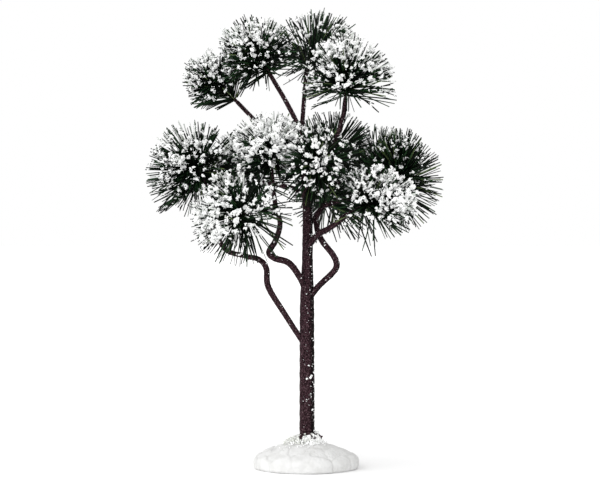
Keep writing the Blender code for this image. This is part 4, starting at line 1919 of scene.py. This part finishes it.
@dataclass
class GranuleCollar:
    """Loose granules of snow heaped round the trunk's foot, with strays on the mound."""

    heap: int = 760
    turn_stray: float = 0.2  # radians
    gather: float = 0.8  # under 1, the granules crowd outwards
    outer: float = 9.6 * MM
    offset: float = -2.4 * MM  # how much further the heap reaches on the right than on average
    crest: float = 3.9 * MM
    tilt: float = 0.9 * MM  # how much higher it is on the right than on average
    smallest: float = 0.32 * MM
    largest: float = 1.45 * MM
    small_gather: float = 1.6  # over 1, small sizes are commoner
    left_growth: float = 0.3  # how far the sizes spread on the left, as a share of the spread
    outer_loss: float = 0.35  # how much smaller the outermost granules are
    steep: float = 0.85  # the power by which the heap falls on the right
    flat: float = 2.4  # and on the left, where it has a level top
    rises: Span = (0.35, 1.0)  # the granules' heights in the heap
    stretches: Span = (0.7, 1.1)
    grit_share: float = 0.85  # how many of the fine granules are grey
    strays: int = 110
    stray_reach: float = 2.2 * MM
    stray_sizes: Span = (0.2, 0.45)  # mm
    stray_stretch: float = 0.8
    chips: int = 64
    chip_angles: Span = (-125.0, 20.0)  # degrees
    chip_reach: Span = (0.4, 3.2)  # from the trunk, in mm
    chip_fall: float = 0.7  # how steeply they lie on the heap
    chip_lifts: Span = (0.8, 1.25)
    chip_sizes: Span = (0.45, 0.85)  # mm
    chip_stretches: Span = (1.0, 1.6)
    inner: float = TRUNK.widths[0] / 2 * MM
    crumbs: CrumbRule = field(default_factory=CrumbRule)

    def heap_up(self, chance: random.Random) -> tuple[list[Crumb], list[Crumb]]:
        """Heap the granules round the trunk's foot: coarse and steep on the right, fine on the left.

        Args:
            chance: The collar's own random numbers.

        Returns:
            The white granules and the grey ones.
        """
        granules, grit = [], []
        for i in range(self.heap):
            angle = i * GOLDEN_ANGLE + chance.uniform(-self.turn_stray, self.turn_stray)
            outer = self.outer + self.offset * math.cos(angle)
            crest = self.crest + self.tilt * math.cos(angle)
            across = chance.random() ** self.gather
            coarse = 0.5 + 0.5 * math.cos(angle)
            growth = chance.random() ** self.small_gather
            growth *= self.left_growth + (1.0 - self.left_growth) * coarse
            size = self.smallest + (self.largest - self.smallest) * growth
            size *= 1.0 - self.outer_loss * across
            radius = self.inner + size * 0.5 + (outer - self.inner) * across
            steep, flat = (1.0 - across) ** self.steep, 1.0 - across**self.flat
            rise = crest * (flat + (steep - flat) * coarse) * chance.uniform(*self.rises)
            heap = grit if chance.random() < self.grit_share * (1.0 - coarse) else granules
            stretch = chance.uniform(*self.stretches)
            heap.append(Crumb(on_mound(angle, radius, rise), UPWARDS, size, stretch))
        return granules, grit

    def scatter(self, chance: random.Random) -> list[Crumb]:
        """Scatter the granules that lie loose on the mound.

        Args:
            chance: The collar's own random numbers.

        Returns:
            The granules.
        """
        found = []
        for _ in range(self.strays):
            angle = chance.uniform(0.0, math.tau)
            stray = abs(chance.gauss(0.0, 1.0)) * self.stray_reach
            radius = self.outer + stray + self.offset * math.cos(angle)
            size = chance.uniform(*self.stray_sizes) * MM
            found.append(Crumb(on_mound(angle, radius), UPWARDS, size, self.stray_stretch))
        return found

    def strew_dark_chips(self) -> list[Crumb]:
        """Lay small dark chips, in the bark's finish, among the granules at the trunk's front and right.

        Returns:
            The chips.
        """
        chance = random.Random(f"{SEED} chips")
        found = []
        for _ in range(self.chips):
            angle = math.radians(chance.uniform(*self.chip_angles))
            reach = chance.uniform(*self.chip_reach) * MM
            rise = (self.crest - reach * self.chip_fall) * chance.uniform(*self.chip_lifts)
            place = on_mound(angle, self.inner + reach, rise)
            aim = Vector(chance.gauss(0.0, 1.0) for _ in range(3)).normalized()
            size = chance.uniform(*self.chip_sizes) * MM
            found.append(Crumb(place, aim, size, chance.uniform(*self.chip_stretches)))
        return found

    def build(self, finishes: Finishes) -> list[bpy.types.Object]:
        """Make the collar, in place of its solid.

        Args:
            finishes: The materials.

        Returns:
            The pieces.
        """
        chance = random.Random(f"{SEED} collar")
        granules, grit = self.heap_up(chance)
        granules += self.scatter(chance)
        collar = self.crumbs.make("granule_collar", granules, finishes.snow, CrumbShape.CLUMP)
        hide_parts("snow_collar")
        settle(collar)
        chips = self.crumbs.make("bark_chips", self.strew_dark_chips(), finishes.bark, CrumbShape.CLUMP)
        settle(chips)
        grey = self.crumbs.make("granule_grit", grit, finishes.grit, CrumbShape.FLECK)
        settle(grey)
        return [collar, chips, grey]


@dataclass
class LimbSnow:
    """Specks of snow caught on the trunk and the boughs."""

    step: float = 1.0 * MM  # between the places along a limb where a speck can sit
    trunk_specks: int = 300
    bough_specks: float = 1300.0  # for each metre of bough
    smallest: float = 0.13 * MM
    growth: float = 0.42 * MM
    small_gather: float = 4.0  # over 1, small specks are commoner
    favour: float = 0.35  # the chance of a speck on a limb's front, and how it grows to the right
    favour_right: float = 0.35
    favour_top: float = 0.3
    lowest: float = 18.0 * MM
    stretches: Span = (0.45, 0.8)
    lift: float = 0.02 * MM
    flakes: int = 60  # bigger ones, low on the trunk's right
    flake_angle: float = 20.0  # degrees
    flake_stray: float = 26.0
    flake_heights: Span = (24.0, 56.0)  # mm
    flake_least: float = 0.22  # mm
    flake_growth: float = 0.55  # mm
    flake_gather: float = 1.5
    flake_stretches: Span = (0.45, 0.7)
    flake_lift: float = 0.03 * MM
    crumbs: CrumbRule = field(default_factory=CrumbRule)

    def specks(self, limb: Limb, count: int, chance: random.Random) -> list[Crumb]:
        """Specks on one limb.

        Args:
            limb: The limb.
            count: How many.
            chance: The limb's own random numbers.

        Returns:
            The specks.
        """
        line = limb.line(self.step)
        across = np.cross(line.aims, line.sides)
        found = []
        while len(found) < count:
            i = chance.randrange(len(line.points))
            angle = chance.uniform(0.0, math.tau)
            outward = Vector(line.sides[i] * math.cos(angle) + across[i] * math.sin(angle))
            size = self.smallest + self.growth * chance.random() ** self.small_gather
            favour = self.favour + self.favour_right * outward.x + self.favour_top * outward.z
            if chance.random() > favour:
                continue
            place = Vector(line.points[i]) + outward * (line.radii[i] + self.lift)
            if place.z < self.lowest:
                continue
            found.append(Crumb(place, outward, size, chance.uniform(*self.stretches)))
        return found

    def big_flakes(self, chance: random.Random) -> list[Crumb]:
        """Stick the bigger flakes to the trunk above its foot.

        Args:
            chance: The specks' own random numbers.

        Returns:
            The flakes.
        """
        centre, radius = Vector(TRUNK.route[0]) * MM, TRUNK.widths[0] / 2 * MM
        found = []
        for k in range(self.flakes):
            angle = math.radians(chance.gauss(self.flake_angle, self.flake_stray)) * (-1) ** k
            outward = Vector((math.cos(angle), math.sin(angle), 0.0))
            place = centre + outward * (radius + self.flake_lift)
            place.z = chance.uniform(*self.flake_heights) * MM
            size = (self.flake_least + self.flake_growth * chance.random() ** self.flake_gather) * MM
            found.append(Crumb(place, outward, size, chance.uniform(*self.flake_stretches)))
        return found

    def build(self, finishes: Finishes) -> list[bpy.types.Object]:
        """Make the specks.

        Args:
            finishes: The materials.

        Returns:
            The piece, in a list.
        """
        chance = random.Random(f"{SEED} specks")
        crumbs = self.specks(TRUNK, self.trunk_specks, chance) + self.big_flakes(chance)
        for limb in BOUGHS:
            length = float(limb.line(self.step).along[-1])
            crumbs += self.specks(limb, int(length * self.bough_specks), chance)
        piece = self.crumbs.make("limb_snow", crumbs, finishes.snow, CrumbShape.FLECK)
        settle(piece)
        return [piece]


# ---------------------------------------------------------------------------------------------------
# The studio


@dataclass
class Studio:
    """A plain pale floor, soft light and the camera."""

    camera_place: Vector = field(default_factory=lambda: Vector((-0.003, -0.930, 0.114)))
    lens: float = 111.6  # mm
    sensor: float = 36.0  # mm
    clip_start: float = 0.01
    floor_reach: float = 30.0
    key_strength: float = 2.4
    key_angle: float = math.radians(100.0)
    key_tilt: tuple[float, float, float] = (math.radians(48), 0.0, math.radians(-42))
    sky_light: float = 0.75
    sky_seen: float = 1.0

    def build(self) -> None:
        """Make the floor, the lights, the sky and the camera."""
        self.floor()
        self.key()
        self.sky()
        self.camera()

    def floor(self) -> None:
        """A wide flat floor under the mound."""
        corners = ((-1, -1), (1, -1), (1, 1), (-1, 1))
        mesh = bpy.data.meshes.new("floor")
        places = [(x * self.floor_reach, y * self.floor_reach, 0) for x, y in corners]
        mesh.from_pydata(places, [], [(0, 1, 2, 3)])
        place_object("floor", mesh, (StudioFloor().build(),))

    def key(self) -> None:
        """A soft light from the upper left of the front."""
        light = bpy.data.lights.new("key", "SUN")
        light.energy = self.key_strength
        light.angle = self.key_angle
        obj = bpy.data.objects.new("key", light)
        obj.rotation_euler = self.key_tilt
        bpy.context.scene.collection.objects.link(obj)

    def sky(self) -> None:
        """An even white sky, a little dimmer as light than as it is seen."""
        world = bpy.data.worlds.new("studio")
        world.use_nodes = True
        wiring = Wiring(world.node_tree)
        background = world.node_tree.nodes["Background"]
        background.inputs["Color"].default_value = (1.0, 1.0, 1.0, 1.0)
        seen = wiring.out("ShaderNodeLightPath", output="Is Camera Ray")
        levels = {"Value": seen, "To Min": self.sky_light, "To Max": self.sky_seen}
        strength = wiring.out("ShaderNodeMapRange", levels)
        wiring.tree.links.new(strength, background.inputs["Strength"])
        bpy.context.scene.world = world

    def camera(self) -> None:
        """The camera, level, in front of the tree."""
        camera = bpy.data.cameras.new("camera")
        camera.lens = self.lens
        camera.sensor_width = self.sensor
        camera.sensor_fit = "HORIZONTAL"
        camera.clip_start = self.clip_start
        obj = bpy.data.objects.new("camera", camera)
        obj.location = self.camera_place
        obj.rotation_euler = (math.pi / 2, 0.0, 0.0)
        bpy.context.scene.collection.objects.link(obj)
        bpy.context.scene.camera = obj
        bpy.context.scene.view_settings.view_transform = "Standard"


def main() -> None:
    """Build every sub-assembly in order and report its pieces."""
    logging.basicConfig(level=logging.INFO, format="%(message)s")
    finishes = Finishes.build()
    for assembly in (CastMound(), GranuleCollar(), WoundLimbs(), LimbSnow(), NeedleTufts()):
        pieces = assembly.build(finishes)
        log.info("%s: %d pieces", type(assembly).__name__, len(pieces))
    Studio().build()


if __name__ == "__main__":
    main()
